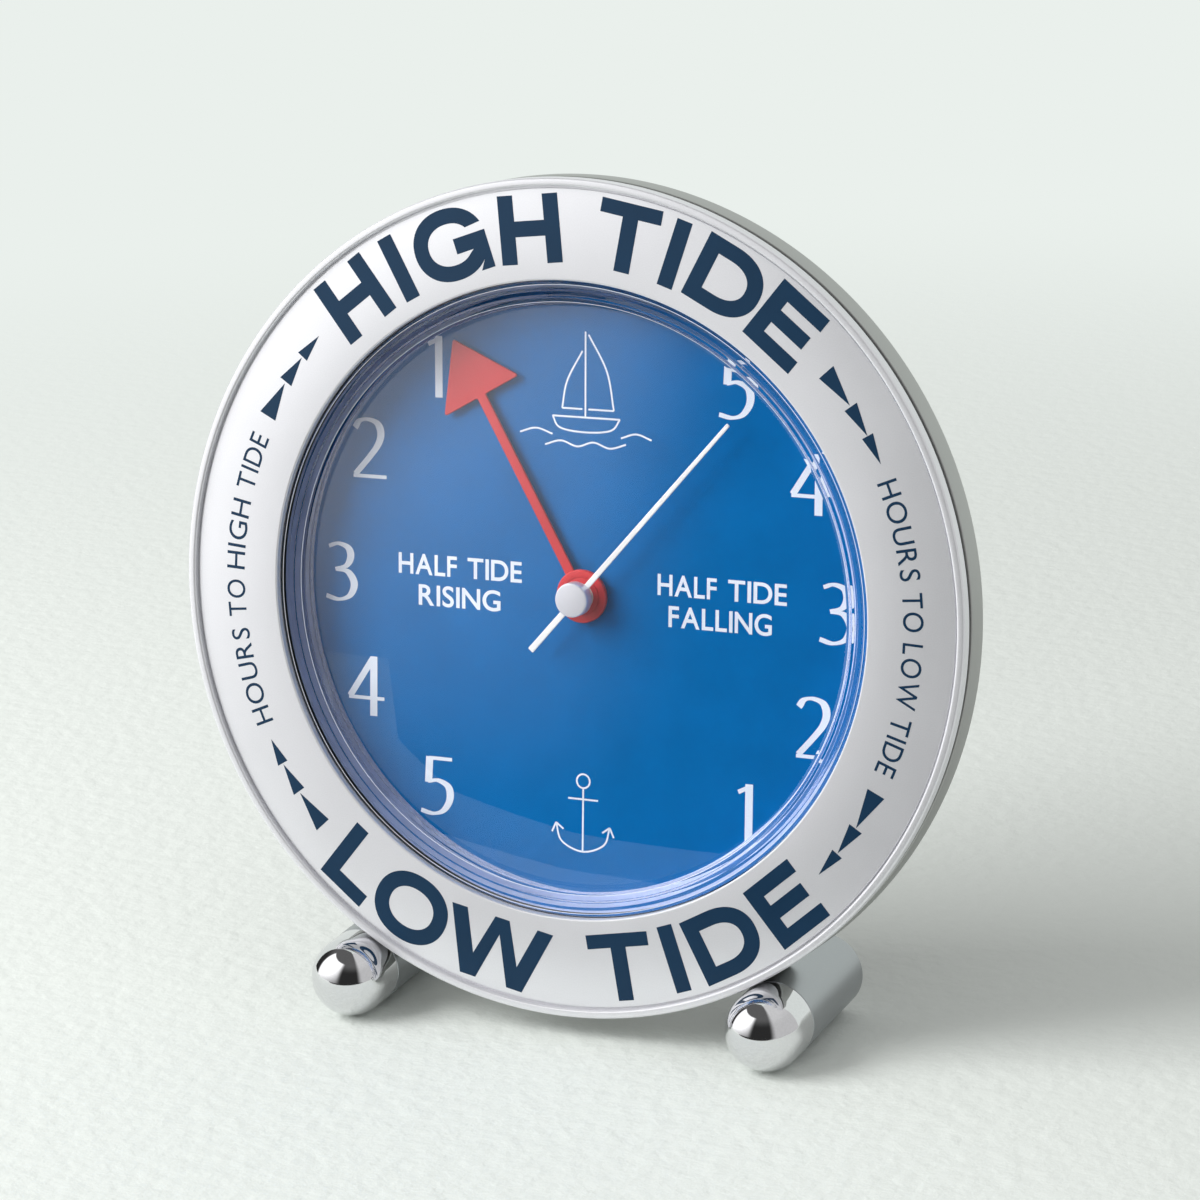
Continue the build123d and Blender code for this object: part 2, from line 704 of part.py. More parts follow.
def circuit_board():
    d_front = d_bridge + bridge_t + part_gap
    body = slab(board_w, board_h, d_front, d_front + board_t, board_x, board_y)
    chip = slab(chip_side, chip_side, d_front + board_t, d_front + board_t + chip_t, board_x, board_y)
    can_y = board_y + board_h / 2 - crystal_can_len / 2 - crystal_can_r
    can = Rot(90, 0, 0) * Cylinder(crystal_can_r, crystal_can_len)
    can = Pos(board_x, can_y, -d_front - board_t - crystal_can_r + fit_gap) * can
    return body + chip + can


def board_studs():
    # Two posts that carry the board, standing on the floor of the movement.
    reach = (board_h - 2 * bridge_post_r) / 2
    d_front = d_bridge + bridge_t + part_gap
    made = [rod(bridge_post_r, d_move_in, d_front, board_x, board_y + side * reach) for side in (-1, 1)]
    return Compound(children=made)


def setting_knob():
    body = rod(knob_r, d_knob, d_knob + knob_t, *minute_at)
    body = fillet(circle_edges_at(body, knob_r, d_knob + knob_t), knob_round)
    for i in range(knob_flutes):
        x, y = polar(knob_r, 360 / knob_flutes * i)
        cut = rod(knob_flute_r, d_knob - overrun, d_knob + knob_t + overrun, minute_at[0] + x, minute_at[1] + y)
        body = body - cut
    return body - rod(minute_arbor_r, d_knob - overrun, d_knob + knob_t / 2, *minute_at)


def tide_hand():
    neck = tide_hand_len - tide_head_len
    half = tide_stem_w / 2
    head = [(-half, 0), (-half, neck), (-tide_head_half_w, neck), (0, tide_hand_len)]
    head = head + [(tide_head_half_w, neck), (half, neck), (half, 0)]
    blade = make_face(Polyline(*head, close=True))
    d_blade = d_boss_front + (tide_boss_t - tide_hand_t) / 2
    body = plate(blade, d_blade, d_blade + tide_hand_t) + rod(tide_boss_r, d_boss_front, d_boss_back)
    body = body - rod(tide_tube_r, d_boss_front - overrun, d_boss_back + overrun)
    return Rot(0, 0, tide_hand_turn_deg) * body


def sweep_hand():
    tip = sweep_tip_w / 2
    tail = sweep_tail_w / 2
    outline = [(-tip, sweep_len), (tip, sweep_len), (tail, -sweep_tail), (-tail, -sweep_tail)]
    d_front = d_sweep_back - sweep_t
    body = plate(make_face(Polyline(*outline, close=True)), d_front, d_sweep_back)
    body = body + rod(cap_neck_r, d_front, d_cap_back)
    body = body - rod(arbor_r, d_front - overrun, d_cap_back + overrun)
    return Rot(0, 0, sweep_turn_deg) * body


def sweep_cap():
    d_back = d_sweep_back - sweep_t
    body = rod(cap_r, d_cap_front, d_back)
    body = fillet(circle_edges_at(body, cap_r, d_cap_front), cap_round)
    return body - rod(arbor_r, d_cap_front + cap_t / 2, d_back + overrun)


def seated(body):
    # From the bench to the standing clock: lean back and lift to the right height.
    return Pos(0, 0, face_height) * Rot(90 - lean_deg, 0, 0) * body


def foot_line():
    # Where the screw into a foot crosses the drum: its depth, and its angle from straight down.
    lean = math.radians(lean_deg)
    depth = (d_shell + shell_rear_d) / 2
    drop = face_height - foot_z
    y = (depth - drop * math.sin(lean)) / math.cos(lean)
    down = drop * math.cos(lean) - y * math.sin(lean)
    return depth, math.atan2(foot_spread, down)


def along_foot_screw(side, body):
    # Lays a body drawn along +Z from zero onto the screw's line, pointing out from the axis.
    depth, turn = foot_line()
    heading = side * math.degrees(turn) - 90
    return Pos(0, 0, -depth) * Rot(0, 0, heading) * Rot(0, 90, 0) * body


def foot_screw_hole(side):
    # Through the drum wall and blind into the foot.
    start = drum_r - shell_wall - part_gap
    body = Cylinder(foot_screw_r + fit_gap, drum_r + foot_screw_reach - start, align=standing)
    return along_foot_screw(side, Pos(0, 0, start) * body)


def foot_screws():
    seat = drum_r - shell_wall - part_gap
    length = drum_r + foot_screw_reach - foot_screw_end_gap - seat
    shank = Pos(0, 0, seat) * Cylinder(foot_screw_r, length, align=standing)
    head = Pos(0, 0, seat - foot_screw_head_t) * Cylinder(foot_screw_head_r, foot_screw_head_t, align=standing)
    socket = Cylinder(foot_screw_hex_r, foot_screw_head_t, align=standing)
    socket = Pos(0, 0, seat - foot_screw_head_t * 3 / 2) * socket
    return Compound(children=[seated(along_foot_screw(side, shank + head - socket)) for side in (-1, 1)])


def lying(radius, length, side, y_front, z=None):
    # A round bar along Y, from this front end back.
    body = Cylinder(radius, length, align=standing)
    height = foot_z if z is None else z
    return Pos(side * foot_spread, y_front, height) * Rot(-90, 0, 0) * body


def foot_bar(side):
    y_seam = foot_cap_len - foot_front
    body = lying(foot_r, foot_bar_len, side, y_seam)
    seam = body.edges().filter_by(GeomType.CIRCLE).sort_by(Axis.Y)[0]
    body = chamfer([seam], foot_seam_break)
    rear = body.edges().filter_by(GeomType.CIRCLE).sort_by(Axis.Y)[-1]
    body = fillet([rear], foot_rear_round)
    body = body - lying(foot_stud_r + fit_gap, foot_stud_len + fit_gap, side, y_seam)
    saddle = rod(drum_r + saddle_gap, -lip_rise - part_gap, shell_rear_d + part_gap)
    body = body - seated(saddle)
    body = body - seated(foot_screw_hole(side))
    return body - foot_pad(side)


def foot_cap(side):
    y_seam = foot_cap_len - foot_front
    ball = Pos(side * foot_spread, -foot_front, foot_z) * Sphere(foot_r)
    ball = ball - lying(foot_r + overrun, foot_r + overrun, side, -foot_front)
    body = lying(foot_r, foot_cap_len, side, -foot_front)
    seam = body.edges().filter_by(GeomType.CIRCLE).sort_by(Axis.Y)[-1]
    body = chamfer([seam], foot_seam_break) + ball
    return body + lying(foot_stud_r, foot_stud_len, side, y_seam - part_gap)


def foot_pad(side):
    y_mid = foot_cap_len - foot_front + foot_bar_len / 2
    body = Box(pad_strip_w, pad_strip_len, pad_strip_t, align=standing)
    return Pos(side * foot_spread, y_mid, 0) * body


pieces = {
    "front_ring": seated(front_ring()),
    "shadow_spacer": seated(shadow_spacer()),
    "drum_shell": seated(drum_shell()),
    "crystal": seated(crystal()),
    "crystal_gasket": seated(crystal_gasket()),
    "dial_plate": seated(dial_plate()),
    "rear_plate": seated(rear_plate()),
    "rear_plate_screws": seated(cover_screws()),
    "movement_screws": seated(movement_screws()),
    "movement_pad": seated(movement_pad()),
    "movement_base": seated(movement_base()),
    "movement_lid": seated(movement_lid()),
    "centre_bush": seated(centre_bush()),
    "battery_cell": seated(battery_cell()),
    "battery_contacts": seated(battery_contacts()),
    "tide_wheel": seated(tide_wheel()),
    "cannon_pinion": seated(cannon_pinion()),
    "minute_wheel": seated(minute_wheel()),
    "centre_wheel": seated(centre_wheel()),
    "third_wheel": seated(third_wheel()),
    "sweep_wheel": seated(sweep_wheel()),
    "intermediate_wheel": seated(intermediate_wheel()),
    "rotor": seated(rotor()),
    "wheel_bridge": seated(wheel_bridge()),
    "stator": seated(stator()),
    "coil_core": seated(coil_core()),
    "coil_bobbin": seated(coil_bobbin()),
    "coil_winding": seated(coil_winding()),
    "circuit_board": seated(circuit_board()),
    "board_studs": seated(board_studs()),
    "setting_knob": seated(setting_knob()),
    "tide_hand": seated(tide_hand()),
    "sweep_hand": seated(sweep_hand()),
    "sweep_cap": seated(sweep_cap()),
    "foot_bar_left": foot_bar(-1),
    "foot_bar_right": foot_bar(1),
    "foot_cap_left": foot_cap(-1),
    "foot_cap_right": foot_cap(1),
    "foot_screws": foot_screws(),
    "foot_pad_left": foot_pad(-1),
    "foot_pad_right": foot_pad(1),
}

# The origin is the middle of the clock's footprint box, on the surface it stands on.
boxes = [piece.bounding_box() for piece in pieces.values()]
y_low = min(box.min.Y for box in boxes)
y_high = max(box.max.Y for box in boxes)
y_shift = -(y_low + y_high) / 2

os.makedirs("parts", exist_ok=True)
for name, piece in pieces.items():
    export_step(Pos(0, y_shift, 0) * piece, "parts/" + name + ".step")


def shown(label, at, d):
    # Prints a place on the bench as a place on the standing clock.
    spot = seated(Pos(at[0], at[1], -d) * Vertex(0, 0, 0))
    print(label, [round(v, 4) for v in (spot.center().X, spot.center().Y + y_shift, spot.center().Z)])


print("y_shift", round(y_shift, 5))
shown("centre", (0, 0), d_dial)
shown("centre_face", (0, 0), 0)
shown("minute", minute_at, d_minute_wheel)
shown("third", third_at, d_third_wheel)
shown("intermediate", inter_at, d_inter_wheel)
shown("rotor", rotor_at, d_magnet)
pad_y = foot_cap_len - foot_front + foot_bar_len / 2 + y_shift
print("rest", [foot_spread, round(pad_y, 4), 0])
print("foot screw depth and angle", foot_line()[0], round(math.degrees(foot_line()[1]), 3))
print("depths", dict(dial=d_dial, back=d_plate_back, move=d_move, lid=d_lid, lid_back=d_lid_back,
                     bridge=d_bridge, magnet=d_magnet, cap=d_cap_front, boss=d_boss_front))
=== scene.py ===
"""A round desk tide clock that leans back on two bar feet.

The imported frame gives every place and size. Each piece is drawn on the bench, with X to the
right, Y towards the top of the dial and Z out of the face, in millimetres from the flat face of
the front ring, and is then seated on the feet.
"""

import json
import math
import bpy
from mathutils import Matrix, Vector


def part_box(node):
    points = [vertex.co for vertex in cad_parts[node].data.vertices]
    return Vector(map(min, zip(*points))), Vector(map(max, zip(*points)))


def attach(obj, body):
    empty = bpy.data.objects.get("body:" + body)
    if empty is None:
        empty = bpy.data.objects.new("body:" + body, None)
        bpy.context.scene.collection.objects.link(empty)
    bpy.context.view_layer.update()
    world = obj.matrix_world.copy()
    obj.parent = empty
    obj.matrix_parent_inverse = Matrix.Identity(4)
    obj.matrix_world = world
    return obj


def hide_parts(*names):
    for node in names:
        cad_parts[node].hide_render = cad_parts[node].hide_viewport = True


bl_info = {
    "name": "Tide clock",
    "version": (1, 0, 0),
    "blender": (4, 5, 0),
    "location": "3D View > Sidebar > Tide clock",
    "description": "Dresses the packed frame of a desk tide clock, piece by piece",
    "category": "Add Mesh",
}

import bpy
from bpy.props import FloatProperty, FloatVectorProperty, PointerProperty
from mathutils import Matrix, Vector

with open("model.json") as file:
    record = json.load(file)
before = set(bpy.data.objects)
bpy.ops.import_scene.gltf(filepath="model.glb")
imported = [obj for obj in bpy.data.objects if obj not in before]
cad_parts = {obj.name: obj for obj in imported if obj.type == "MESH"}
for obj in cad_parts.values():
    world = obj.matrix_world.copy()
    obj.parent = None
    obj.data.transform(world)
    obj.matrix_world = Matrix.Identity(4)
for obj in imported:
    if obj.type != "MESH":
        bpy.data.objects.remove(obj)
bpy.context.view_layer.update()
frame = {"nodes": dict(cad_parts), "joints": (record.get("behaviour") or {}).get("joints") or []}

MM = 0.001
BODY = "clock_body"

# Depths behind the ring's face and radii, in millimetres
RING_BACK = 1.6
SPACER_BACK = 3.0
DIAL_DEPTH = 10.5
OPENING_R = 58.0
OUTER_R = 76.2
DOME_R, DOME_EDGE, DOME_TOP = 53.4, -2.4, 0.3
INNER_DOME_R, INNER_EDGE, INNER_TOP = 54.2, -5.4, -1.6
SKIRT_IN_R, SKIRT_R, SKIRT_BACK = 55.3, 57.5, 10.4


# Places on the bench


def joint_of(name):
    return next(j for j in frame["joints"] if j["name"] == name)


def seat():
    """From the bench to the standing clock."""
    turn = joint_of("tide_hand_turn")
    back = Vector(turn["axis"])
    centre = Vector(turn["pos_m"]) - back * DIAL_DEPTH * MM
    lean = math.asin(-back.z)
    return Matrix.Translation(centre) @ Matrix.Rotation(math.pi / 2 - lean, 4, "X")


def on_dial(turn_deg):
    """A hand drawn upright, turned to its place; a positive angle is towards the left."""
    return seat() @ Matrix.Rotation(math.radians(turn_deg), 4, "Z")


# Mesh work


def add_piece(name, verts, faces, body, material, place=None, smooth=True, sharp_deg=32):
    """Makes a piece from bench millimetres and ties it to its body."""
    mesh = bpy.data.meshes.new(name)
    mesh.from_pydata([(x * MM, y * MM, z * MM) for x, y, z in verts], [], faces)
    mesh.validate()
    if smooth:
        mesh.shade_smooth()
        mesh.set_sharp_from_angle(angle=math.radians(sharp_deg))
    piece = bpy.data.objects.new(name, mesh)
    bpy.context.scene.collection.objects.link(piece)
    piece.matrix_world = seat() if place is None else place
    mesh.materials.append(material)
    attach(piece, body)
    return piece


def soften(corners, sizes, steps=5):
    """Rounds the corners of a closed outline. sizes maps a corner's index to its radius."""
    out = []
    count = len(corners)
    for i, corner in enumerate(corners):
        here = Vector(corner)
        size = sizes.get(i, 0)
        if not size:
            out.append(tuple(here))
            continue
        before = (Vector(corners[i - 1]) - here).normalized()
        after = (Vector(corners[(i + 1) % count]) - here).normalized()
        half = before.angle(after) / 2
        reach = size / math.tan(half)
        middle = here + (before + after).normalized() * (size / math.sin(half))
        first = here + before * reach - middle
        last = here + after * reach - middle
        sweep = last.angle(first)
        side = 1 if first.x * last.y - first.y * last.x > 0 else -1
        for k in range(steps + 1):
            turn = Matrix.Rotation(side * sweep * k / steps, 2)
            out.append(tuple(middle + turn @ first))
    return out


def lathe(outline, segments):
    """Turns a closed (radius, depth) outline round the drum's axis."""
    verts, rings, faces = [], [], []
    for radius, depth in outline:
        if radius < 1e-6:
            rings.append([len(verts)] * segments)
            verts.append((0.0, 0.0, -depth))
            continue
        rings.append(list(range(len(verts), len(verts) + segments)))
        for k in range(segments):
            turn = 2 * math.pi * k / segments
            verts.append((radius * math.cos(turn), radius * math.sin(turn), -depth))
    for i, ring in enumerate(rings):
        after = rings[(i + 1) % len(rings)]
        if ring[0] == ring[1] and after[0] == after[1]:
            continue
        for k in range(segments):
            m = (k + 1) % segments
            corner = list(dict.fromkeys((ring[k], ring[m], after[m], after[k])))
            if len(corner) > 2:
                faces.append(corner)
    return verts, outward(faces, outline)


def outward(faces, outline):
    """Faces of a lathed body, turned so that their normals point out."""
    area = 0
    for i, (r, d) in enumerate(outline):
        r2, d2 = outline[(i + 1) % len(outline)]
        area += r * d2 - r2 * d
    return [face[::-1] for face in faces] if area > 0 else faces


def strip(left, right, closed=False):
    """A flat band between two lines of points."""
    count = len(left)
    verts = [(x, y, 0.0) for x, y in left + right]
    last = count if closed else count - 1
    faces = [[i, count + i, count + (i + 1) % count, (i + 1) % count] for i in range(last)]
    return verts, faces


def facing_out(verts, faces):
    """Turns flat faces so that they look out of the clock's face."""
    made = []
    for face in faces:
        area = 0
        for i, here in enumerate(face):
            a, b = verts[here], verts[face[(i + 1) % len(face)]]
            area += a[0] * b[1] - b[0] * a[1]
        if abs(area) > 1e-9:
            made.append(face if area > 0 else face[::-1])
    return made


class Sheet:
    """Collects flat printed shapes into one mesh."""

    def __init__(self):
        self.verts, self.faces = [], []

    def add(self, shape, place=Matrix.Identity(4)):
        verts, faces = shape
        start = len(self.verts)
        moved = [tuple(place @ Vector(v)) for v in verts]
        self.verts += moved
        self.faces += facing_out(self.verts, [[start + i for i in face] for face in faces])


# Materials


def srgb(red, green, blue):
    """A colour given as 0 to 255, as Blender's own light values."""
    made = []
    for value in (red, green, blue):
        value = value / 255
        made.append(value / 12.92 if value <= 0.04045 else ((value + 0.055) / 1.055) ** 2.4)
    return (*made, 1.0)


BACKDROP = srgb(234, 240, 236)


class Wiring:
    """Adds nodes to one node tree and joins them up."""

    def __init__(self, tree):
        self.nodes = tree.nodes
        self.link = tree.links.new

    def feed(self, socket, value):
        """Links an output to the socket, or sets the socket to a plain value."""
        if isinstance(value, bpy.types.NodeSocket):
            self.link(value, socket)
        else:
            socket.default_value = value

    def add(self, kind, **values):
        """A new node of this kind. Each value feeds the input of that name."""
        node = self.nodes.new("ShaderNode" + kind)
        for name, value in values.items():
            self.feed(node.inputs[name.replace("_", " ")], value)
        return node

    def calc(self, operation, *values):
        """The result of one math step."""
        step = self.nodes.new("ShaderNodeMath")
        step.operation = operation
        for socket, value in zip(step.inputs, values):
            self.feed(socket, value)
        return step.outputs[0]

    def ramp(self, value, low, high):
        """Zero at low and one at high, with soft ends; high may be the smaller."""
        step = self.nodes.new("ShaderNodeMapRange")
        step.interpolation_type = "SMOOTHSTEP"
        ends = (0.0, 1.0) if low < high else (1.0, 0.0)
        for socket, number in zip(step.inputs, (value, min(low, high), max(low, high), *ends)):
            self.feed(socket, number)
        return step.outputs["Result"]

    def mix(self, share, first, second):
        """A mix of two shaders."""
        node = self.nodes.new("ShaderNodeMixShader")
        for socket, value in zip(node.inputs, (share, first, second)):
            self.feed(socket, value)
        return node.outputs["Shader"]

    def seen_rays(self):
        """One for rays from the camera, from gloss and through glass."""
        rays = self.add("LightPath").outputs
        first = self.calc("MAXIMUM", rays["Is Camera Ray"], rays["Is Glossy Ray"])
        return self.calc("MAXIMUM", first, rays["Is Transmission Ray"])


def effect(name):
    """A new node group that turns a position into a colour factor, a roughness and a height."""
    group = bpy.data.node_groups.new(name, "ShaderNodeTree")
    group.interface.new_socket("Position", in_out="INPUT", socket_type="NodeSocketVector")
    for label in ("Grain Size", "Roughness", "Spread"):
        group.interface.new_socket(label, in_out="INPUT", socket_type="NodeSocketFloat")
    for label in ("Shade", "Roughness", "Height"):
        group.interface.new_socket(label, in_out="OUTPUT", socket_type="NodeSocketFloat")
    start = group.nodes.new("NodeGroupInput").outputs
    end = group.nodes.new("NodeGroupOutput").inputs
    return group, Wiring(group), start, end


def metal_grain():
    """Fine grain of satin metal that runs in no direction."""
    if "Metal grain" in bpy.data.node_groups:
        return bpy.data.node_groups["Metal grain"]
    group, wires, start, end = effect("Metal grain")
    scale = wires.calc("DIVIDE", 1.0, start["Grain Size"])
    fine = wires.add("TexNoise", Vector=start["Position"], Scale=scale, Detail=3.0).outputs["Fac"]
    broad = wires.add("TexNoise", Vector=start["Position"], Scale=38.0, Detail=4.0).outputs["Fac"]
    centred = wires.calc("SUBTRACT", wires.calc("ADD", fine, broad), 1.0)
    wires.feed(end["Shade"], wires.calc("MULTIPLY_ADD", centred, 0.12, 1.0))
    wires.feed(end["Roughness"], wires.calc("MULTIPLY_ADD", centred, start["Spread"], start["Roughness"]))
    wires.feed(end["Height"], fine)
    return group


def moulded_skin():
    """Faint orange-peel and dust of moulded plastic, paint or rubber."""
    if "Moulded skin" in bpy.data.node_groups:
        return bpy.data.node_groups["Moulded skin"]
    group, wires, start, end = effect("Moulded skin")
    scale = wires.calc("DIVIDE", 1.0, start["Grain Size"])
    cells = wires.add("TexVoronoi", Vector=start["Position"], Scale=scale)
    dust = wires.add("TexNoise", Vector=start["Position"], Scale=90.0, Detail=5.0).outputs["Fac"]
    shade = wires.add("MapRange", Value=dust, From_Min=0.3, From_Max=0.7, To_Min=0.93, To_Max=1.07)
    wires.feed(end["Shade"], shade.outputs["Result"])
    centred = wires.calc("SUBTRACT", dust, 0.5)
    wires.feed(end["Roughness"], wires.calc("MULTIPLY_ADD", centred, start["Spread"], start["Roughness"]))
    wires.feed(end["Height"], cells.outputs["Distance"])
    return group


def new_material(name):
    """A material with its wiring and its Principled shader."""
    material = bpy.data.materials.new(name)
    material.use_nodes = True
    wires = Wiring(material.node_tree)
    return material, wires, wires.nodes["Principled BSDF"]


def finish_of(name, colour, grain, grain_size, metallic, roughness, spread, bump, specular=0.5):
    """A Principled material whose colour, roughness and bump come from one of the shared effects."""
    if name in bpy.data.materials:
        return bpy.data.materials[name]
    material, wires, surface = new_material(name)
    group = wires.nodes.new("ShaderNodeGroup")
    group.node_tree = grain
    wires.feed(group.inputs["Position"], wires.add("TexCoord").outputs["Object"])
    for label, value in (("Grain Size", grain_size), ("Roughness", roughness), ("Spread", spread)):
        wires.feed(group.inputs[label], value)
    tint = wires.nodes.new("ShaderNodeVectorMath")
    tint.operation = "SCALE"
    tint.inputs[0].default_value = colour[:3]
    wires.feed(tint.inputs["Scale"], group.outputs["Shade"])
    height = wires.add("Bump", Strength=1.0, Distance=bump * MM, Height=group.outputs["Height"])
    for label, value in (("Base Color", tint.outputs["Vector"]), ("Roughness", group.outputs["Roughness"]),
                         ("Normal", height.outputs["Normal"]), ("Metallic", metallic),
                         ("Specular IOR Level", specular)):
        wires.feed(surface.inputs[label], value)
    return material


def metal(name, colour, grain_size=0.0002, roughness=0.4, spread=0.1, bump=0.004, metallic=1.0):
    return finish_of(name, colour, metal_grain(), grain_size, metallic, roughness, spread, bump)


def plastic(name, colour, grain_size=0.0004, roughness=0.45, spread=0.15, bump=0.01, **more):
    return finish_of(name, colour, moulded_skin(), grain_size, 0.0, roughness, spread, bump, **more)


def clear_plastic(name):
    """Clear moulded plastic. Rays from lamps pass it, so that the dial behind it is lit."""
    if name in bpy.data.materials:
        return bpy.data.materials[name]
    material, wires, surface = new_material(name)
    for label, value in (("Base Color", (1.0, 1.0, 1.0, 1.0)), ("Metallic", 0.0), ("Roughness", 0.0),
                         ("IOR", 1.49), ("Transmission Weight", 1.0)):
        wires.feed(surface.inputs[label], value)
    through = wires.add("BsdfTransparent").outputs["BSDF"]
    blend = wires.mix(wires.add("LightPath").outputs["Is Shadow Ray"], surface.outputs["BSDF"], through)
    wires.link(blend, wires.nodes["Material Output"].inputs["Surface"])
    return material


def movement_black():
    return plastic("Movement black", srgb(24, 25, 26), 0.0004, 0.42, 0.15, 0.015)


def contact_steel():
    return metal("Contact steel", srgb(196, 196, 192), 0.0003, 0.28)


def matt_plastic_painting_light(name, shade, through):
    """The crystal's own plastic where it is matt and lets only a share of the light through. It is pale so
    that it also paints light: lifted shade on the skirt wall and highlight lines on the rim's crests.
    """
    if name in bpy.data.materials:
        return bpy.data.materials[name]
    material = plastic(name, shade, 0.0002, 0.4, 0.1, 0.006)
    material.node_tree.nodes["Principled BSDF"].inputs["Transmission Weight"].default_value = through
    return material


# Sizes and colours


def length(label, words, value):
    return FloatProperty(name=label, description=words, default=value, min=0.0, unit="LENGTH")


def colour(label, words, value):
    return FloatVectorProperty(name=label, description=words, default=value[:3], min=0.0, max=1.0,
                               size=3, subtype="COLOR")


class TideClockSizes(bpy.types.PropertyGroup):
    ring_edge: length("Edge round", "Radius of the rounded edges of the front ring's lip", 0.00045)
    ink_lift: length("Ink height", "How far the printed ink stands off the metal", 0.00003)
    hand_edge: length("Hand edge", "Width of the bevel round the tide hand", 0.00018)


class TideClockColours(bpy.types.PropertyGroup):
    dial: colour("Dial", "Blue of the dial plate", srgb(1, 99, 163))
    ink: colour("Ring print", "Dark blue ink on the front ring", srgb(8, 46, 74))
    numerals: colour("Dial print", "Pale ink of the numerals and words on the dial", srgb(224, 231, 242))
    tide_hand: colour("Tide hand", "Red paint of the tide hand", srgb(196, 40, 46))
    sweep_hand: colour("Sweep hand", "White paint of the thin hand", srgb(240, 240, 240))


def sizes():
    return bpy.context.scene.tide_clock_sizes


def colours():
    return bpy.context.scene.tide_clock_colours


def rgba(value):
    return (*value, 1.0)


# Letters, numerals and small drawings


def block(outline):
    """One flat face with this outline."""
    return [(x, y, 0.0) for x, y in outline], [list(range(len(outline)))]


def bow(cx, cy, rx, ry, start_deg, end_deg, power=2.0, steps=40):
    """Points on part of a slightly squared ellipse."""
    made = []
    for k in range(steps + 1):
        turn = math.radians(start_deg + (end_deg - start_deg) * k / steps)
        across, up = math.cos(turn), math.sin(turn)
        across = math.copysign(abs(across) ** (2 / power), across)
        up = math.copysign(abs(up) ** (2 / power), up)
        made.append((cx + rx * across, cy + ry * up))
    return made


STEM = 3.0
BAR = 2.75
SQUARENESS = 2.15


def letter_h(width, height):
    bar = 2.8
    low = height * 0.51 - bar / 2
    right = width - STEM
    return block([(0, 0), (STEM, 0), (STEM, low), (right, low), (right, 0), (width, 0), (width, height),
                  (right, height), (right, low + bar), (STEM, low + bar), (STEM, height), (0, height)])


def letter_i(width, height):
    return block([(0, 0), (width, 0), (width, height), (0, height)])


def letter_t(width, height):
    left, top = (width - STEM) / 2, height - 2.6
    return block([(left, 0), (left + STEM, 0), (left + STEM, top), (width, top), (width, height),
                  (0, height), (0, top), (left, top)])


def letter_l(width, height):
    return block([(0, 0), (width, 0), (width, BAR), (STEM, BAR), (STEM, height), (0, height)])


def letter_e(width, height):
    low, top = (height - BAR) / 2 + 0.1, height - BAR
    middle, upper = width - 0.9, width - 0.2
    return block([(0, 0), (width, 0), (width, BAR), (STEM, BAR), (STEM, low), (middle, low),
                  (middle, low + BAR), (STEM, low + BAR), (STEM, top), (upper, top), (upper, height),
                  (0, height)])


def letter_d(width, height):
    flat, mid, power = width * 0.42, height / 2, 2.25
    outer = [(0, 0)] + bow(flat, mid, width - flat, mid, -90, 90, power) + [(0, height)]
    inner = [(STEM, BAR)] + bow(flat, mid, width - flat - STEM, mid - BAR, -90, 90, power)
    return strip(outer, inner + [(STEM, height - BAR)], closed=True)


def letter_o(width, height):
    over, across, up = 0.3, width / 2, height / 2
    outer = bow(across, up, across, up + over, 0, 356, SQUARENESS, 89)
    inner = bow(across, up, across - STEM, up + over - BAR, 0, 356, SQUARENESS, 89)
    return strip(outer, inner, closed=True)


def letter_g(width, height):
    over, mid, bar_low, bar_high = 0.35, height / 2, 4.15, 6.95
    cx, right = width * 0.5, width - 0.1
    outer = bow(cx, mid, width / 2 - 0.1, mid + over, 20, 320, SQUARENESS, 60)
    inner = bow(cx, mid, width / 2 - STEM, mid + over - BAR, 33, 320, SQUARENESS, 60)
    verts, faces = strip(outer, inner)
    spur = [(width - 2.9, 0), (right, 0), (right, bar_high), (cx + 0.8, bar_high), (cx + 0.8, bar_low),
            (width - STEM - 0.2, bar_low), inner[-1], outer[-1]]
    start = len(verts)
    verts = verts + [(x, y, 0.0005) for x, y in spur]
    return verts, faces + [list(range(start, start + len(spur)))]


def letter_w(width, height):
    mid, half, foot, notch, peak = width / 2, 1.6, 4.8, 4.5, 1.45
    low = [(mid - foot - half, 0), (mid - foot + half, 0), (mid, height * 0.75), (mid + foot - half, 0),
           (mid + foot + half, 0)]
    high = [(width, height), (width - 2 * half, height), (mid + notch, height * 0.35), (mid + peak, height),
            (mid - peak, height), (mid - notch, height * 0.35), (2 * half, height), (0, height)]
    return block(low + high)


def stroke(points, heavy, light, nib_deg=8.0):
    """A pen line through these points: heavy where it runs down, light where it runs across."""
    nib = Vector((math.cos(math.radians(nib_deg)), math.sin(math.radians(nib_deg))))
    left, right = [], []
    for i, here in enumerate(points):
        before = Vector(points[max(i - 1, 0)])
        after = Vector(points[min(i + 1, len(points) - 1)])
        along = (after - before).normalized()
        side = Vector((-along.y, along.x))
        width = light + (heavy - light) * abs(side.dot(nib)) ** 1.4
        left.append(tuple(Vector(here) + side * width / 2))
        right.append(tuple(Vector(here) - side * width / 2))
    return strip(left, right)


def bend(*corners, steps=10):
    """A smooth line through these points."""
    ends = [Vector(c) for c in corners]
    ends = [ends[0] * 2 - ends[1]] + ends + [ends[-1] * 2 - ends[-2]]
    made = []
    for i in range(1, len(ends) - 2):
        a, b, c, d = ends[i - 1:i + 3]
        for k in range(steps):
            t = k / steps
            square, cube = 2 * a - 5 * b + 4 * c - d, 3 * b - a - 3 * c + d
            made.append(tuple(0.5 * ((2 * b) + (c - a) * t + square * t * t + cube * t ** 3)))
    return made + [tuple(ends[-2])]


def straight(a, b):
    return [a, ((a[0] + b[0]) / 2, (a[1] + b[1]) / 2), b]


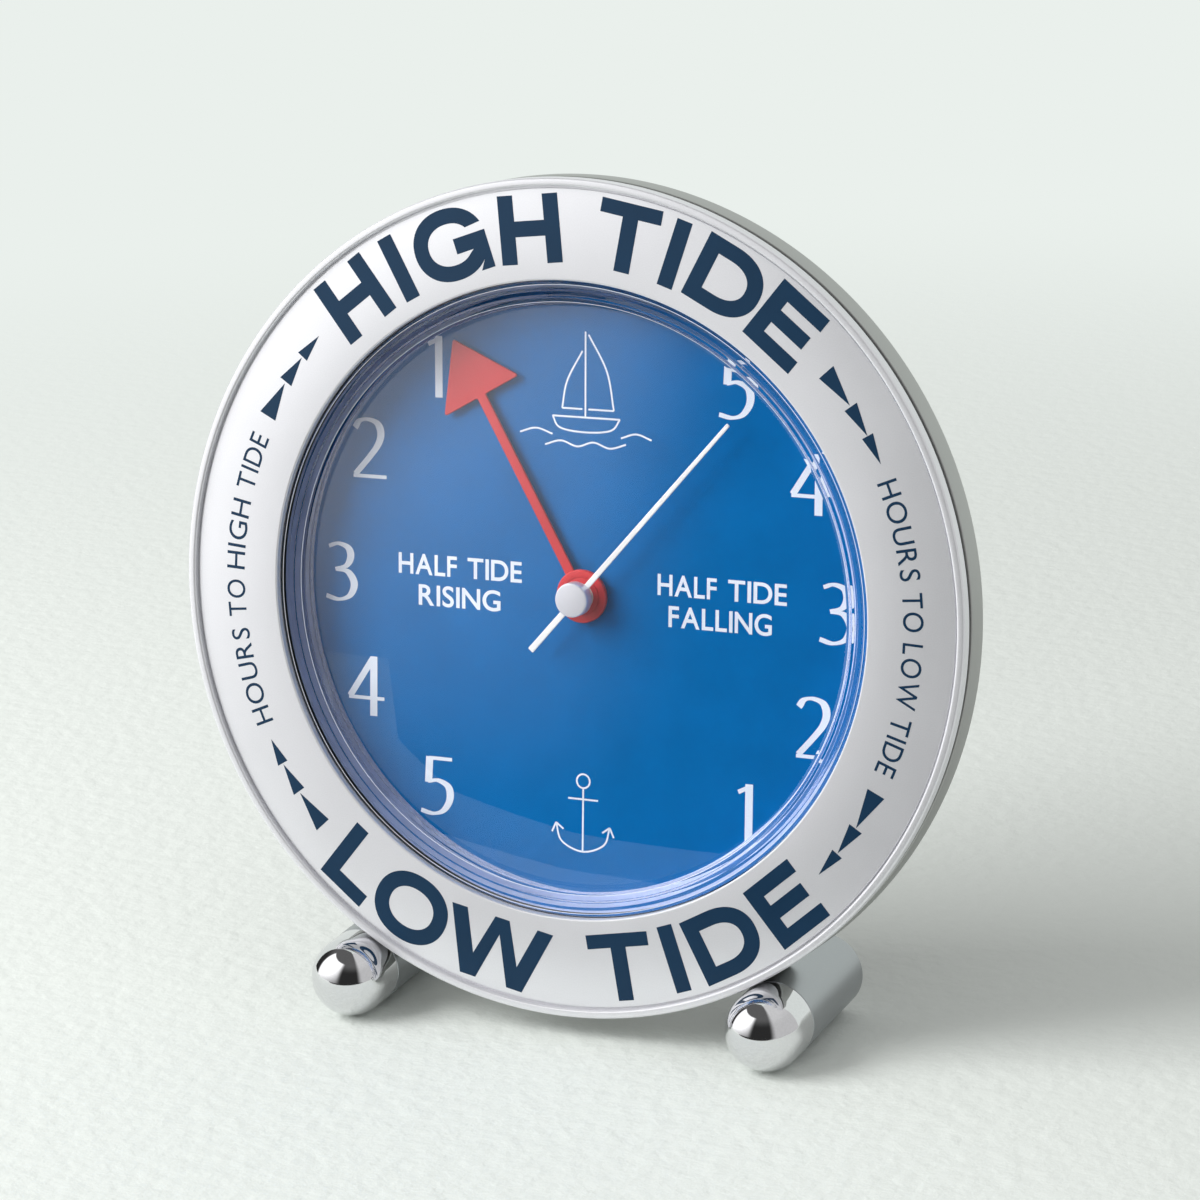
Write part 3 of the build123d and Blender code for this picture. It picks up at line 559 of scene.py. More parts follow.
def numeral(value):
    """Pen lines of a dial numeral in a box 7.5 wide and 11.3 high."""
    if value == 1:
        return [straight((4.1, 0), (4.1, 11.3)), straight((4.4, 10.9), (2.0, 9.7))]
    if value == 2:
        return [bend((0.9, 9.4), (1.9, 10.75), (3.6, 11.1), (5.5, 10.4), (6.2, 8.6), (5.6, 6.5), (3.9, 4.2),
                     (0.9, 0.75)), straight((0.5, 0.5), (7.3, 0.5))]
    if value == 3:
        return [bend((1.3, 10.35), (3.2, 10.95), (5.2, 10.3), (5.8, 8.7), (4.9, 6.9), (2.6, 6.1)),
                bend((2.7, 6.1), (5.2, 5.7), (6.5, 3.6), (5.6, 1.3), (3.3, 0.4), (0.7, 0.95))]
    if value == 4:
        return [straight((5.5, 0), (5.5, 11.3)), straight((5.3, 10.9), (0.6, 3.5)),
                straight((0.35, 3.35), (7.7, 3.35))]
    return [straight((2.0, 10.85), (6.7, 10.85)), straight((2.1, 11.1), (1.9, 6.2)),
            bend((1.8, 6.35), (3.9, 6.7), (6.0, 5.6), (6.3, 3.3), (5.0, 1.1), (2.9, 0.35), (0.4, 0.8))]


def glyph(letter, heavier):
    """A letter of Blender's own font as flat faces, one unit of size high."""
    curve = bpy.data.curves.new("letter", "FONT")
    curve.body = letter
    curve.offset = heavier
    curve.resolution_u = 6
    made = bpy.data.objects.new("letter", curve)
    mesh = bpy.data.meshes.new_from_object(made)
    verts = [tuple(v.co) for v in mesh.vertices]
    faces = [list(p.vertices) for p in mesh.polygons]
    bpy.data.objects.remove(made)
    bpy.data.curves.remove(curve)
    bpy.data.meshes.remove(mesh)
    return verts, faces


# The height of a capital of the font as a share of its size
CAP_SHARE = 0.69
WORD_CAP = 3.75
PRINT_RING_R = 66.8


def word_layout(word, heavier, gap):
    """Letters side by side, each with its shape, shift, left end and width, and the whole width."""
    made, x = [], 0.0
    for letter in word:
        verts, faces = glyph(letter, heavier)
        verts = [(a / CAP_SHARE, b / CAP_SHARE, 0.0) for a, b, _ in verts]
        left, right = min(v[0] for v in verts), max(v[0] for v in verts)
        made.append(((verts, faces), x - left, x, right - left))
        x += right - left + gap
    return made, x - gap


def straight_word(sheet, word, left, right, base, cap, z, heavier=0.0, gap=0.12):
    """An upright word on the dial between two ends, on this base line."""
    made, width = word_layout(word, heavier, gap)
    stretch = (right - left) / width
    for shape, shift, _, _ in made:
        corner = Matrix.Translation((left + shift * stretch, base, z))
        sheet.add(shape, corner @ Matrix.Diagonal((stretch, cap, 1, 1)))


def round_word(sheet, word, start_deg, end_deg, radius, cap, z, gap=0.22):
    """A word along the ring, tops outward, from one clockwise angle to the other."""
    made, width = word_layout(word, 0.0, gap)
    middle = radius + cap / 2
    stretch = math.radians(end_deg - start_deg) * middle / width
    for shape, shift, start, own in made:
        turn = math.radians(start_deg) + (start + own / 2) * stretch / middle
        place = Matrix.Rotation(-turn, 4, "Z") @ Matrix.Translation((-(own / 2) * stretch, radius, z))
        place = place @ Matrix.Diagonal((stretch, cap, 1, 1)) @ Matrix.Translation((shift - start, 0, 0))
        sheet.add(shape, place)


def heavy_letter(sheet, shape, width, turn_deg, radius, z, inward=False):
    """One large letter on the ring, its foot at this radius, its top outward or inward."""
    turn = math.radians(turn_deg)
    foot = Matrix.Rotation(-turn, 4, "Z") @ Matrix.Translation((0, radius, z))
    if inward:
        foot = foot @ Matrix.Rotation(math.pi, 4, "Z")
    sheet.add(shape, foot @ Matrix.Translation((-width / 2, 0, 0)))


def arrow_mark(sheet, start_deg, end_deg, half, z):
    """A long triangle that lies along the ring and points clockwise."""
    points = []
    for turn_deg, offset in ((start_deg, -half), (start_deg, half), (end_deg, 0)):
        radius = PRINT_RING_R + offset
        turn = math.radians(turn_deg)
        points.append((radius * math.sin(turn), radius * math.cos(turn)))
    verts, faces = block(points)
    sheet.add((verts, faces), Matrix.Translation((0, 0, z)))


# Pieces, each made by one operator


def bench_lathe(name, outline, body, material, nodes, segments=256, sharp_deg=32, place=None):
    """A turned piece that takes the place of these CAD nodes."""
    verts, faces = lathe(outline, segments)
    piece = add_piece(name, verts, faces, body, material, place, sharp_deg=sharp_deg)
    if nodes:
        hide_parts(*nodes)
    return piece


class TIDECLOCK_OT_front_ring(bpy.types.Operator):
    """Turn the front ring with its raised lip"""

    bl_idname = "tide_clock.front_ring"
    bl_label = "Front ring"

    def execute(self, context):
        edge = sizes().ring_edge / MM
        lip_r, lip_front, groove = 74.7, -1.0, 0.45
        corners = [(OPENING_R, RING_BACK), (OPENING_R, 0.0), (lip_r - 0.45, 0.0), (lip_r - 0.4, groove),
                   (lip_r, groove), (lip_r, lip_front), (OUTER_R, lip_front), (OUTER_R, RING_BACK)]
        outline = soften(corners, {1: 0.35, 2: 0.06, 5: edge, 6: edge, 7: 0.15})
        look = metal("Ring satin metal", srgb(234, 234, 238), 0.00022, 0.34, 0.08, 0.004, 0.55)
        bench_lathe("front_ring_turned", outline, BODY, look, ["front_ring"], 360)
        return {"FINISHED"}


class TIDECLOCK_OT_drum(bpy.types.Operator):
    """Turn the drum shell and the dark spacer in front of it"""

    bl_idname = "tide_clock.drum"
    bl_label = "Drum"

    def execute(self, context):
        wall, front_r, rear_r = 1.6, 59.0, 58.4
        in_r, d_in, d_out = 74.4, SPACER_BACK + wall, 8.9
        corners = [(OUTER_R, SPACER_BACK), (OUTER_R, d_out + wall), (rear_r, d_out + wall), (rear_r, d_out),
                   (in_r, d_out), (in_r, d_in), (front_r, d_in), (front_r, SPACER_BACK)]
        outline = soften(corners, {0: 0.3, 1: 2.0, 4: 0.3, 5: 0.3}, 8)
        look = metal("Drum satin metal", srgb(172, 173, 171), 0.00022, 0.4, 0.08, 0.004, 0.9)
        bench_lathe("drum_shell_turned", outline, BODY, look, ["drum_shell"], 360)
        gap = [(75.1, RING_BACK), (75.1, SPACER_BACK), (61.3, SPACER_BACK), (61.3, RING_BACK)]
        dark = plastic("Spacer black", srgb(34, 35, 37), 0.0003, 0.6)
        bench_lathe("shadow_spacer_turned", gap, BODY, dark, ["shadow_spacer"])
        return {"FINISHED"}


class TIDECLOCK_OT_crystal(bpy.types.Operator):
    """Mould the clear crystal: a stepped rim, a skirt and a low dome"""

    bl_idname = "tide_clock.crystal"
    bl_label = "Crystal"

    def execute(self, context):
        rim = [(57.8, 1.3), (57.18, 0.95), (56.61, 1.35), (56.0, 1.05), (55.29, 1.45), (54.81, 1.2),
               (54.02, 2.1), (DOME_R, -DOME_EDGE)]
        dome = self.cap(DOME_R, DOME_EDGE, DOME_TOP)
        inner = self.cap(INNER_DOME_R, INNER_EDGE, INNER_TOP)
        flange_r, flange_back = 61.0, 2.6
        flange = [(flange_r, flange_back), (flange_r, RING_BACK), (57.8, RING_BACK)]
        skirt = [(INNER_DOME_R, -INNER_EDGE), (SKIRT_IN_R, 6.5), (SKIRT_IN_R, SKIRT_BACK),
                 (SKIRT_R, SKIRT_BACK), (SKIRT_R, flange_back)]
        count, bead, crest = len(flange), 0.16, 0.3
        rounds = {i: bead for i in range(count, count + len(rim) - 1)}
        rounds[count + 1] = rounds[count + 6] = crest
        corners = flange + rim + [(0.0, -DOME_TOP), (0.0, -INNER_TOP)] + skirt
        outline = soften(corners, rounds, 3)
        start = next(i for i, p in enumerate(outline) if p[0] == 0.0)
        outline = outline[:start] + dome[1:] + inner[::-1] + outline[start + 3:]
        look = clear_plastic("Clear crystal")
        piece = bench_lathe("crystal_moulded", outline, BODY, look, ["crystal"], 360, 20)
        # The skirt's outer wall is frosted; its pale lilac colour is also painted light that lifts the shade
        # seen through the rim
        piece.data.materials.append(matt_plastic_painting_light("Frosted crystal wall, painted light", srgb(186, 198, 232), 0.0))
        # Painted highlight: near-white satin plastic on the rim's two crests and at the skirt's back edge
        # stands in for the lines of light there
        piece.data.materials.append(matt_plastic_painting_light("Crystal crests, painted highlight", srgb(236, 240, 250), 0.2))
        for face in piece.data.polygons:
            middle = face.center / MM
            radius = math.hypot(middle.x, middle.y)
            on_crest = 57.08 < radius < 57.22 or 53.85 < radius < 54.15
            if abs(radius - SKIRT_R) < 0.1 and -10.3 < middle.z < -2.7:
                face.material_index = 1
            # These faces carry the painted highlight
            elif middle.z > -flange_back and on_crest or radius < SKIRT_IN_R + 0.2 and middle.z < -10.0:
                face.material_index = 2
        return {"FINISHED"}

    def cap(self, edge, low, top, steps=24):
        """Points of a shallow dome from its rim to the axis, as (radius, depth)."""
        rise = top - low
        radius = (edge * edge + rise * rise) / (2 * rise)
        made = []
        for k in range(steps + 1):
            r = edge * (1 - k / steps)
            made.append((r, -(top - radius + math.sqrt(radius * radius - r * r))))
        return made


class TIDECLOCK_OT_ring_print(bpy.types.Operator):
    """Print the legends and pointers on the front ring"""

    bl_idname = "tide_clock.ring_print"
    bl_label = "Ring print"

    def execute(self, context):
        ink = plastic("Ring ink", rgba(colours().ink), 0.00025, 0.36, 0.1, 0.002, specular=0.3)
        lift = sizes().ink_lift / MM
        sheet = Sheet()
        high_cap, high_foot, low_cap, low_foot, word_foot = 12.3, 60.95, 12.5, 73.1, 64.7
        high = [(letter_h, 11.8, -38.2), (letter_i, STEM, -29.1), (letter_g, 14.9, -19.4),
                (letter_h, 11.8, -5.7), (letter_t, 11.8, 10.4), (letter_i, STEM, 18.4),
                (letter_d, 13.4, 27.7), (letter_e, 11.1, 39.0)]
        for shape, width, turn in high:
            heavy_letter(sheet, shape(width, high_cap), width, turn, high_foot, lift)
        low = [(letter_l, 10.2, 218.2), (letter_o, 15.3, 207.0), (letter_w, 20.8, 191.1),
               (letter_t, 12.2, 169.6), (letter_i, STEM, 160.4), (letter_d, 13.5, 151.2),
               (letter_e, 11.2, 139.0)]
        for shape, width, turn in low:
            heavy_letter(sheet, shape(width, low_cap), width, turn, low_foot, lift, inward=True)
        halves = (1.75, 1.375, 1.15)
        groups = [((48.1, 54.2), (54.4, 59.4), (59.4, 64.0)),
                  ((115.5, 121.9), (122.0, 127.0), (127.1, 131.7)),
                  ((226.8, 233.1), (233.4, 238.4), (238.6, 242.9)),
                  ((296.9, 303.1), (303.4, 308.3), (308.5, 313.0))]
        for group in groups:
            for (start, end), half in zip(group, halves):
                arrow_mark(sheet, start, end, half, lift)
        words = [("HOURS", 245.6, 261.4), ("TO", 263.4, 269.3), ("HIGH", 271.1, 282.4),
                 ("TIDE", 284.3, 293.6), ("HOURS", 66.6, 81.9), ("TO", 83.7, 89.6),
                 ("LOW", 91.4, 101.4), ("TIDE", 103.0, 112.3)]
        for word, start, end in words:
            round_word(sheet, word, start, end, word_foot, WORD_CAP, lift)
        add_piece("ring_print", sheet.verts, sheet.faces, BODY, ink, smooth=False)
        return {"FINISHED"}


class TIDECLOCK_OT_dial(bpy.types.Operator):
    """Paint the dial plate and print its numerals, words and small drawings"""

    bl_idname = "tide_clock.dial"
    bl_label = "Dial"

    def execute(self, context):
        paint = plastic("Dial blue", rgba(colours().dial), 0.0003, 0.35, 0.1, 0.002, specular=0.03)
        dress(paint, "dial_plate")
        ink = plastic("Dial ink", rgba(colours().numerals), 0.00025, 0.4, 0.1, 0.002)
        z = -DIAL_DEPTH + sizes().ink_lift / MM
        sheet = Sheet()
        places = [(1, -29.5, 40), (2, -43.5, 24), (3, -49.5, 0.5), (4, -44.5, -20.7), (5, -29.5, -38.4),
                  (5, 29.5, 39.5), (4, 43.5, 23.5), (3, 48.9, 0.5), (2, 45, -20.5), (1, 32.5, -37.5)]
        for value, x, y in places:
            for k, line in enumerate(numeral(value)):
                sheet.add(stroke(line, 1.5, 0.62), Matrix.Translation((x - 3.9, y - 5.65, z + k * 0.001)))
        words = [("HALF", -37.7, -25.8, 1.3), ("TIDE", -23.6, -12.6, 1.3), ("RISING", -33.6, -16.9, -4.4),
                 ("HALF", 14.4, 25.9, 1.3), ("TIDE", 28.1, 39.4, 1.3), ("FALLING", 16.6, 36.6, -4.4)]
        for word, left, right, base in words:
            straight_word(sheet, word, left, right, base, WORD_CAP, z, 0.016)
        for line in self.boat() + self.anchor():
            sheet.add(stroke(line, 0.34, 0.34), Matrix.Translation((0, 0, z)))
        add_piece("dial_print", sheet.verts, sheet.faces, BODY, ink, smooth=False)
        return {"FINISHED"}

    def boat(self):
        """A small sailing boat on three waves."""
        deck, foot, side, aft = 32.5, 34.0, 5.6, -4.6
        hull = bend((-6.5, deck), (-5.0, 30.4), (0, 29.8), (5.0, 30.4), (6.8, deck))
        sails = [straight((0, deck), (0, 48.0)), bend((0.6, 47.5), (4.2, 41.0), (side, foot)),
                 straight((0.6, foot), (side, foot)), bend((-0.6, 44.5), (-3.6, 39.0), (aft, foot)),
                 straight((aft, foot), (-0.6, foot)), straight((-6.5, deck), (6.8, deck))]
        waves = []
        for left, right, y in ((-13, -6.5, 29.6), (7, 13, 29.6), (-8, 8, 27.6)):
            span = right - left
            count = max(2, round(span / 3))
            points = [(left + span * k / count, y + 0.45 * (1 if k % 2 else -1)) for k in range(count + 1)]
            waves.append(bend(*points))
        return [hull] + sails + waves

    def anchor(self):
        """An upright anchor."""
        ring = bow(0, -34.6, 1.3, 1.3, 0, 360)
        shank = straight((0, -35.9), (0, -47.6))
        stock = straight((-3.0, -38.0), (3.0, -38.0))
        arms = bend((-5.4, -42.8), (-4.2, -46.2), (0, -47.8), (4.2, -46.2), (5.4, -42.8))
        flukes = [straight((-6.2, -44.6), (-5.4, -42.8)), straight((-5.4, -42.8), (-3.9, -43.9)),
                  straight((6.2, -44.6), (5.4, -42.8)), straight((5.4, -42.8), (3.9, -43.9))]
        return [ring, shank, stock, arms] + flukes


class TIDECLOCK_OT_tide_hand(bpy.types.Operator):
    """Cut the red tide hand and its boss"""

    bl_idname = "tide_clock.tide_hand"
    bl_label = "Tide hand"

    def execute(self, context):
        paint = plastic("Hand red", rgba(colours().tide_hand), 0.0003, 0.38, 0.1, 0.004)
        head, half, root, tip = 8.6, 0.95, 3.6, 52.2
        barb = 40.6
        corners = [(-head, barb), (0.0, tip), (head, barb), (half, barb), (half, root), (-half, root),
                   (-half, barb)]
        outline = soften(corners, {0: 0.35, 1: 0.35, 2: 0.35, 3: 0.3, 6: 0.3}, 5)
        piece = plate_piece("tide_hand_blade", outline, 9.0, 9.5, "tide_group", paint, 29.6)
        bevel(piece, sizes().hand_edge, 3)
        front, back, groove = 8.8, 9.7, 8.95
        corners = [(2.45, back), (2.45, front), (3.4, front), (3.4, groove), (3.55, groove), (3.55, front),
                   (4.9, front), (4.9, back)]
        boss = soften(corners, {2: 0.05, 5: 0.05, 6: 0.22, 7: 0.1}, 4)
        bench_lathe("tide_hand_boss", boss, "tide_group", paint, [], 128)
        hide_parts("tide_hand")
        return {"FINISHED"}


class TIDECLOCK_OT_sweep_hand(bpy.types.Operator):
    """Cut the thin white hand, its neck and its round cap"""

    bl_idname = "tide_clock.sweep_hand"
    bl_label = "Sweep hand"

    def execute(self, context):
        paint = plastic("Hand white", rgba(colours().sweep_hand), 0.0003, 0.35, 0.1, 0.004)
        corners = [(-0.38, 44.4), (0.38, 44.4), (0.62, -13.8), (-0.62, -13.8)]
        outline = soften(corners, {i: 0.2 for i in range(4)}, 4)
        piece = plate_piece("sweep_hand_blade", outline, 6.7, 7.0, "sweep_group", paint, -41.2)
        bevel(piece, 0.00012, 3)
        silver = metal("Cap silver", srgb(232, 232, 238), 0.00015, 0.34, 0.08, 0.003, 0.6)
        neck = [(0.5, 8.4), (0.5, 6.7), (2.2, 6.7), (2.2, 8.4)]
        bench_lathe("sweep_hand_neck", neck, "sweep_group", silver, [], 96)
        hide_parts("sweep_hand")
        cap = soften([(0.0, 6.7), (0.0, 4.3), (3.15, 4.3), (3.15, 6.7)], {2: 0.3, 3: 0.1}, 6)
        bench_lathe("sweep_cap_turned", cap, "sweep_group", silver, ["sweep_cap"], 128)
        return {"FINISHED"}


class TIDECLOCK_OT_feet(bpy.types.Operator):
    """Turn the ball ends of the two bar feet and finish the bars"""

    bl_idname = "tide_clock.feet"
    bl_label = "Feet"

    def execute(self, context):
        chrome = metal("Foot chrome", srgb(226, 226, 228), 0.0004, 0.045, 0.03, 0.0006)
        satin = metal("Foot satin metal", srgb(172, 175, 178), 0.00022, 0.36, 0.08, 0.003)
        for side in ("left", "right"):
            low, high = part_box("foot_cap_" + side)
            radius = (high.x - low.x) / 2
            front = Matrix.Translation(((low.x + high.x) / 2, low.y + radius, (low.z + high.z) / 2))
            lay = front @ Matrix.Rotation(math.pi / 2, 4, "X")
            r = radius / MM
            turns = [math.radians(3 * k) for k in range(1, 31)]
            ball = [(0.0, -r)] + [(r * math.sin(turn), -r * math.cos(turn)) for turn in turns]
            seam, edge, spigot_r, spigot = 4.8, 0.15, 1.9, 6.8
            cap = ball + [(r, seam - edge), (r - edge, seam), (spigot_r, seam), (spigot_r, seam + spigot),
                          (0.0, seam + spigot)]
            verts, faces = lathe(cap[::-1], 128)
            piece = add_piece("foot_cap_" + side + "_ball", verts, faces, BODY, chrome, lay)
            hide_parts("foot_cap_" + side)
            dress(satin, "foot_bar_" + side)
        return {"FINISHED"}


class TIDECLOCK_OT_back(bpy.types.Operator):
    """Finish the pieces that show at the back: plate, screws, movement, cell and knob"""

    bl_idname = "tide_clock.back"
    bl_label = "Back"

    def execute(self, context):
        dress(metal("Screw steel", srgb(176, 178, 182), 0.0002, 0.3), "rear_plate_screws", "movement_screws",
              "foot_screws")
        dress(movement_black(), "movement_base", "movement_lid")
        dress(plastic("Pad rubber", srgb(22, 22, 23), 0.0003, 0.7, 0.15, 0.02), "foot_pad_left",
              "foot_pad_right")
        dress(plastic("Plate black", srgb(30, 31, 33), 0.0005, 0.5, 0.15, 0.02), "rear_plate")
        dress(plastic("Foam grey", srgb(70, 71, 73), 0.0003, 0.9, 0.1, 0.05), "movement_pad")
        dress(plastic("Knob black", srgb(28, 28, 30), 0.0003, 0.38, 0.15, 0.01), "setting_knob")
        dress(contact_steel(), "battery_contacts")
        # The gasket's pale tone is partly its own silicone, partly painted light that brightens the shaded
        # cavity seen through the crystal's rim
        dress(plastic("Gasket pale, painted light", srgb(206, 208, 214), 0.0003, 0.6, 0.15, 0.01), "crystal_gasket")
        self.cell()
        return {"FINISHED"}

    def cell(self):
        """The cell in its plain sleeve: bare ends and a pale band at the plus end."""
        low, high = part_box("battery_cell")
        left, right, radius = low.x / MM, high.x / MM, (high.z - low.z) / 2 / MM
        nub_r, shoulder, wrap_t, bare = 2.7, right - 1.2, 0.15, 0.9
        sleeve = shoulder - bare, shoulder - 12.5, left + bare
        can_r = radius - wrap_t
        corners = [(0.0, right), (nub_r, right), (nub_r, shoulder), (can_r, shoulder), (can_r, sleeve[0]),
                   (radius, sleeve[0]), (radius, sleeve[1]), (radius, sleeve[2]), (can_r, sleeve[2]),
                   (can_r, left), (0.0, left)]
        outline = soften([(r, -x) for r, x in corners], {1: 0.2, 3: 0.6, 9: 0.6})
        middle = Matrix.Translation((0, (low.y + high.y) / 2, (low.z + high.z) / 2))
        lay = middle @ Matrix.Rotation(math.pi / 2, 4, "Y")
        wrap = plastic("Cell wrap", srgb(92, 108, 122), 0.0005, 0.3, 0.1, 0.004)
        cell = bench_lathe("battery_cell_turned", outline, BODY, wrap, ["battery_cell"], 96,
                           place=lay)
        cell.data.materials.append(plastic("Cell band", srgb(206, 207, 202), 0.0005, 0.3, 0.1, 0.004))
        cell.data.materials.append(contact_steel())
        for face in cell.data.polygons:
            x = face.center.z / MM
            if not sleeve[2] <= x <= sleeve[0]:
                face.material_index = 2
            elif x > sleeve[1]:
                face.material_index = 1


class TIDECLOCK_OT_works(bpy.types.Operator):
    """Finish the wheels, arbors, coil and board inside the movement"""

    bl_idname = "tide_clock.works"
    bl_label = "Works"

    def execute(self, context):
        dress(plastic("Wheel white", srgb(226, 224, 214), 0.0003, 0.42, 0.1, 0.006), "tide_wheel",
              "minute_wheel", "cannon_pinion", "sweep_wheel", "intermediate_wheel", "wheel_bridge")
        dress(metal("Brass", srgb(200, 168, 96), 0.0002, 0.3), "third_wheel", "centre_wheel", "centre_bush")
        dress(metal("Magnet dark", srgb(70, 68, 70), 0.0003, 0.4), "rotor")
        dress(metal("Core steel", srgb(150, 152, 156), 0.0003, 0.36), "stator", "coil_core")
        dress(plastic("Bobbin green", srgb(60, 108, 70), 0.0003, 0.5), "coil_bobbin")
        dress(metal("Copper wire", srgb(186, 104, 62), 0.0001, 0.34, 0.1, 0.02), "coil_winding")
        dress(plastic("Board green", srgb(26, 84, 48), 0.0002, 0.4), "circuit_board")
        dress(movement_black(), "board_studs")
        return {"FINISHED"}


def dress(material, *nodes):
    """Puts one finish on the own slots of these CAD nodes."""
    for node in nodes:
        mesh = frame["nodes"][node].data
        if not mesh.materials:
            mesh.materials.append(material)
        for i in range(len(mesh.materials)):
            mesh.materials[i] = material


def plate_piece(name, outline, d_front, d_back, body, material, turn_deg):
    """A flat plate between two depths, turned to its place on the dial."""
    count = len(outline)
    verts = [(x, y, -d_front) for x, y in outline] + [(x, y, -d_back) for x, y in outline]
    faces = [list(range(count)), list(range(2 * count - 1, count - 1, -1))]
    faces += [[i, (i + 1) % count, count + (i + 1) % count, count + i] for i in range(count)]
    after = outline[1:] + outline[:1]
    area = sum(x * y2 - x2 * y for (x, y), (x2, y2) in zip(outline, after))
    if area < 0:
        faces[0], faces[1] = faces[0][::-1], faces[1][::-1]
    else:
        faces[2:] = [face[::-1] for face in faces[2:]]
    return add_piece(name, verts, faces, body, material, on_dial(turn_deg), sharp_deg=40)


def bevel(piece, width, segments):
    """Rounds a piece's sharp edges."""
    step = piece.modifiers.new("Soft edges", "BEVEL")
    step.width = width
    step.segments = segments
    step.limit_method = "ANGLE"
    step.angle_limit = math.radians(40)


class TIDECLOCK_OT_stage(bpy.types.Operator):
    """Lay the pale floor and set the lamps and the camera"""

    bl_idname = "tide_clock.stage"
    bl_label = "Stage"

    def execute(self, context):
        self.floor()
        self.studio_wall()
        self.lamps()
        self.camera()
        return {"FINISHED"}

    def floor(self):
        half = 12.0
        corners = [(-half, -half, 0), (half, -half, 0), (half, half, 0), (-half, half, 0)]
        self.stand("floor", corners, [[0, 1, 2, 3]], self.paper())

    def stand(self, name, verts, faces, material):
        """A piece of the stage."""
        mesh = bpy.data.meshes.new(name)
        mesh.from_pydata(verts, [], faces)
        mesh.materials.append(material)
        piece = bpy.data.objects.new(name, mesh)
        bpy.context.scene.collection.objects.link(piece)
        return piece

    def paper(self):
        """Pale paper: lit near the clock, where its shadow falls, and an even tone further off."""
        material, wires, surface = new_material("Pale paper")
        place = wires.add("TexCoord").outputs["Object"]
        tooth = wires.add("TexNoise", Vector=place, Scale=260.0, Detail=4.0).outputs["Fac"]
        height = wires.add("Bump", Distance=0.0009, Strength=0.5, Height=tooth)
        for label, value in (("Base Color", srgb(235, 240, 235)), ("Roughness", 0.9),
                             ("Specular IOR Level", 0.1), ("Normal", height.outputs["Normal"])):
            wires.feed(surface.inputs[label], value)
        glow = wires.add("Emission", Color=BACKDROP)
        far = wires.nodes.new("ShaderNodeVectorMath")
        far.operation = "LENGTH"
        wires.link(place, far.inputs[0])
        lit, even = 0.22, 0.75
        reach = wires.ramp(far.outputs["Value"], lit, even)
        blend = wires.mix(wires.calc("MULTIPLY", reach, wires.seen_rays()), surface.outputs["BSDF"],
                          glow.outputs["Emission"])
        wires.link(blend, wires.nodes["Material Output"].inputs["Surface"])
        return material

    def studio_wall(self):
        """What gloss sees in front of the clock: a dark studio with one tall soft window at the left."""
        radius, columns, rows = 0.41, 60, 24
        verts, faces = [], []
        for i in range(columns + 1):
            azimuth = math.radians(-104 + 226 * i / columns)
            for k in range(rows + 1):
                rise = math.radians(88 * k / rows)
                flat = radius * math.cos(rise)
                verts.append((flat * math.sin(azimuth), -flat * math.cos(azimuth), radius * math.sin(rise)))
        for i in range(columns):
            for k in range(rows):
                a = i * (rows + 1) + k
                faces.append([a, a + 1, a + rows + 2, a + rows + 1])
        start, lift = len(verts), 0.0006
        edge = [(-0.36, -0.40), (-0.15, -0.15), (-0.096, -0.112), (-0.04, -0.098), (0.40, -0.09),
                (0.40, -0.42), (-0.30, -0.42)]
        verts += [(x, y, lift) for x, y in edge]
        faces.append([start + i for i in range(len(edge))])
        wall = self.stand("studio_wall", verts, faces, self.window_light())
        wall.visible_camera = False
        wall.visible_diffuse = False
        wall.visible_shadow = False

    def window_light(self):
        """A dark wall whose left part glows, softly bounded, with a pale zone at the far right."""
        material, wires, surface = new_material("Studio window")
        wires.nodes.remove(surface)
        calc = wires.calc
        eye_y, eye_z = -0.01, 0.078
        parts = wires.add("SeparateXYZ", Vector=wires.add("TexCoord").outputs["Object"]).outputs
        front = calc("SUBTRACT", eye_y, parts["Y"])
        azimuth = calc("ARCTAN2", parts["X"], front)
        flat = calc("SQRT", calc("MULTIPLY_ADD", front, front, calc("POWER", parts["X"], 2.0)))
        rise = calc("ARCTAN2", calc("SUBTRACT", parts["Z"], eye_z), flat)

        def turned(value, low_deg, high_deg):
            return wires.ramp(value, math.radians(low_deg), math.radians(high_deg))

        slanted = calc("MULTIPLY_ADD", rise, -0.153, azimuth)
        sides = calc("MULTIPLY", turned(slanted, -8.5, -25), turned(azimuth, -88, -82))
        mask = calc("MULTIPLY", sides, turned(rise, 46, 42))
        falling = calc("MULTIPLY_ADD", slanted, -0.778, -0.0256)
        shade = calc("MULTIPLY", calc("MULTIPLY", falling, turned(rise, -33.3, 32.7)), 4.1)
        mask = calc("MULTIPLY", mask, calc("MINIMUM", shade, 1.45))
        dim = calc("MULTIPLY_ADD", turned(rise, 16, 44), 0.1, 0.03)
        dim = calc("MULTIPLY_ADD", turned(azimuth, 38, 56), 0.6, dim)
        glow = wires.add("Emission", Color=(1.0, 1.0, 1.0, 1.0), Strength=calc("ADD", mask, dim))
        wires.link(glow.outputs["Emission"], wires.nodes["Material Output"].inputs["Surface"])
        return material

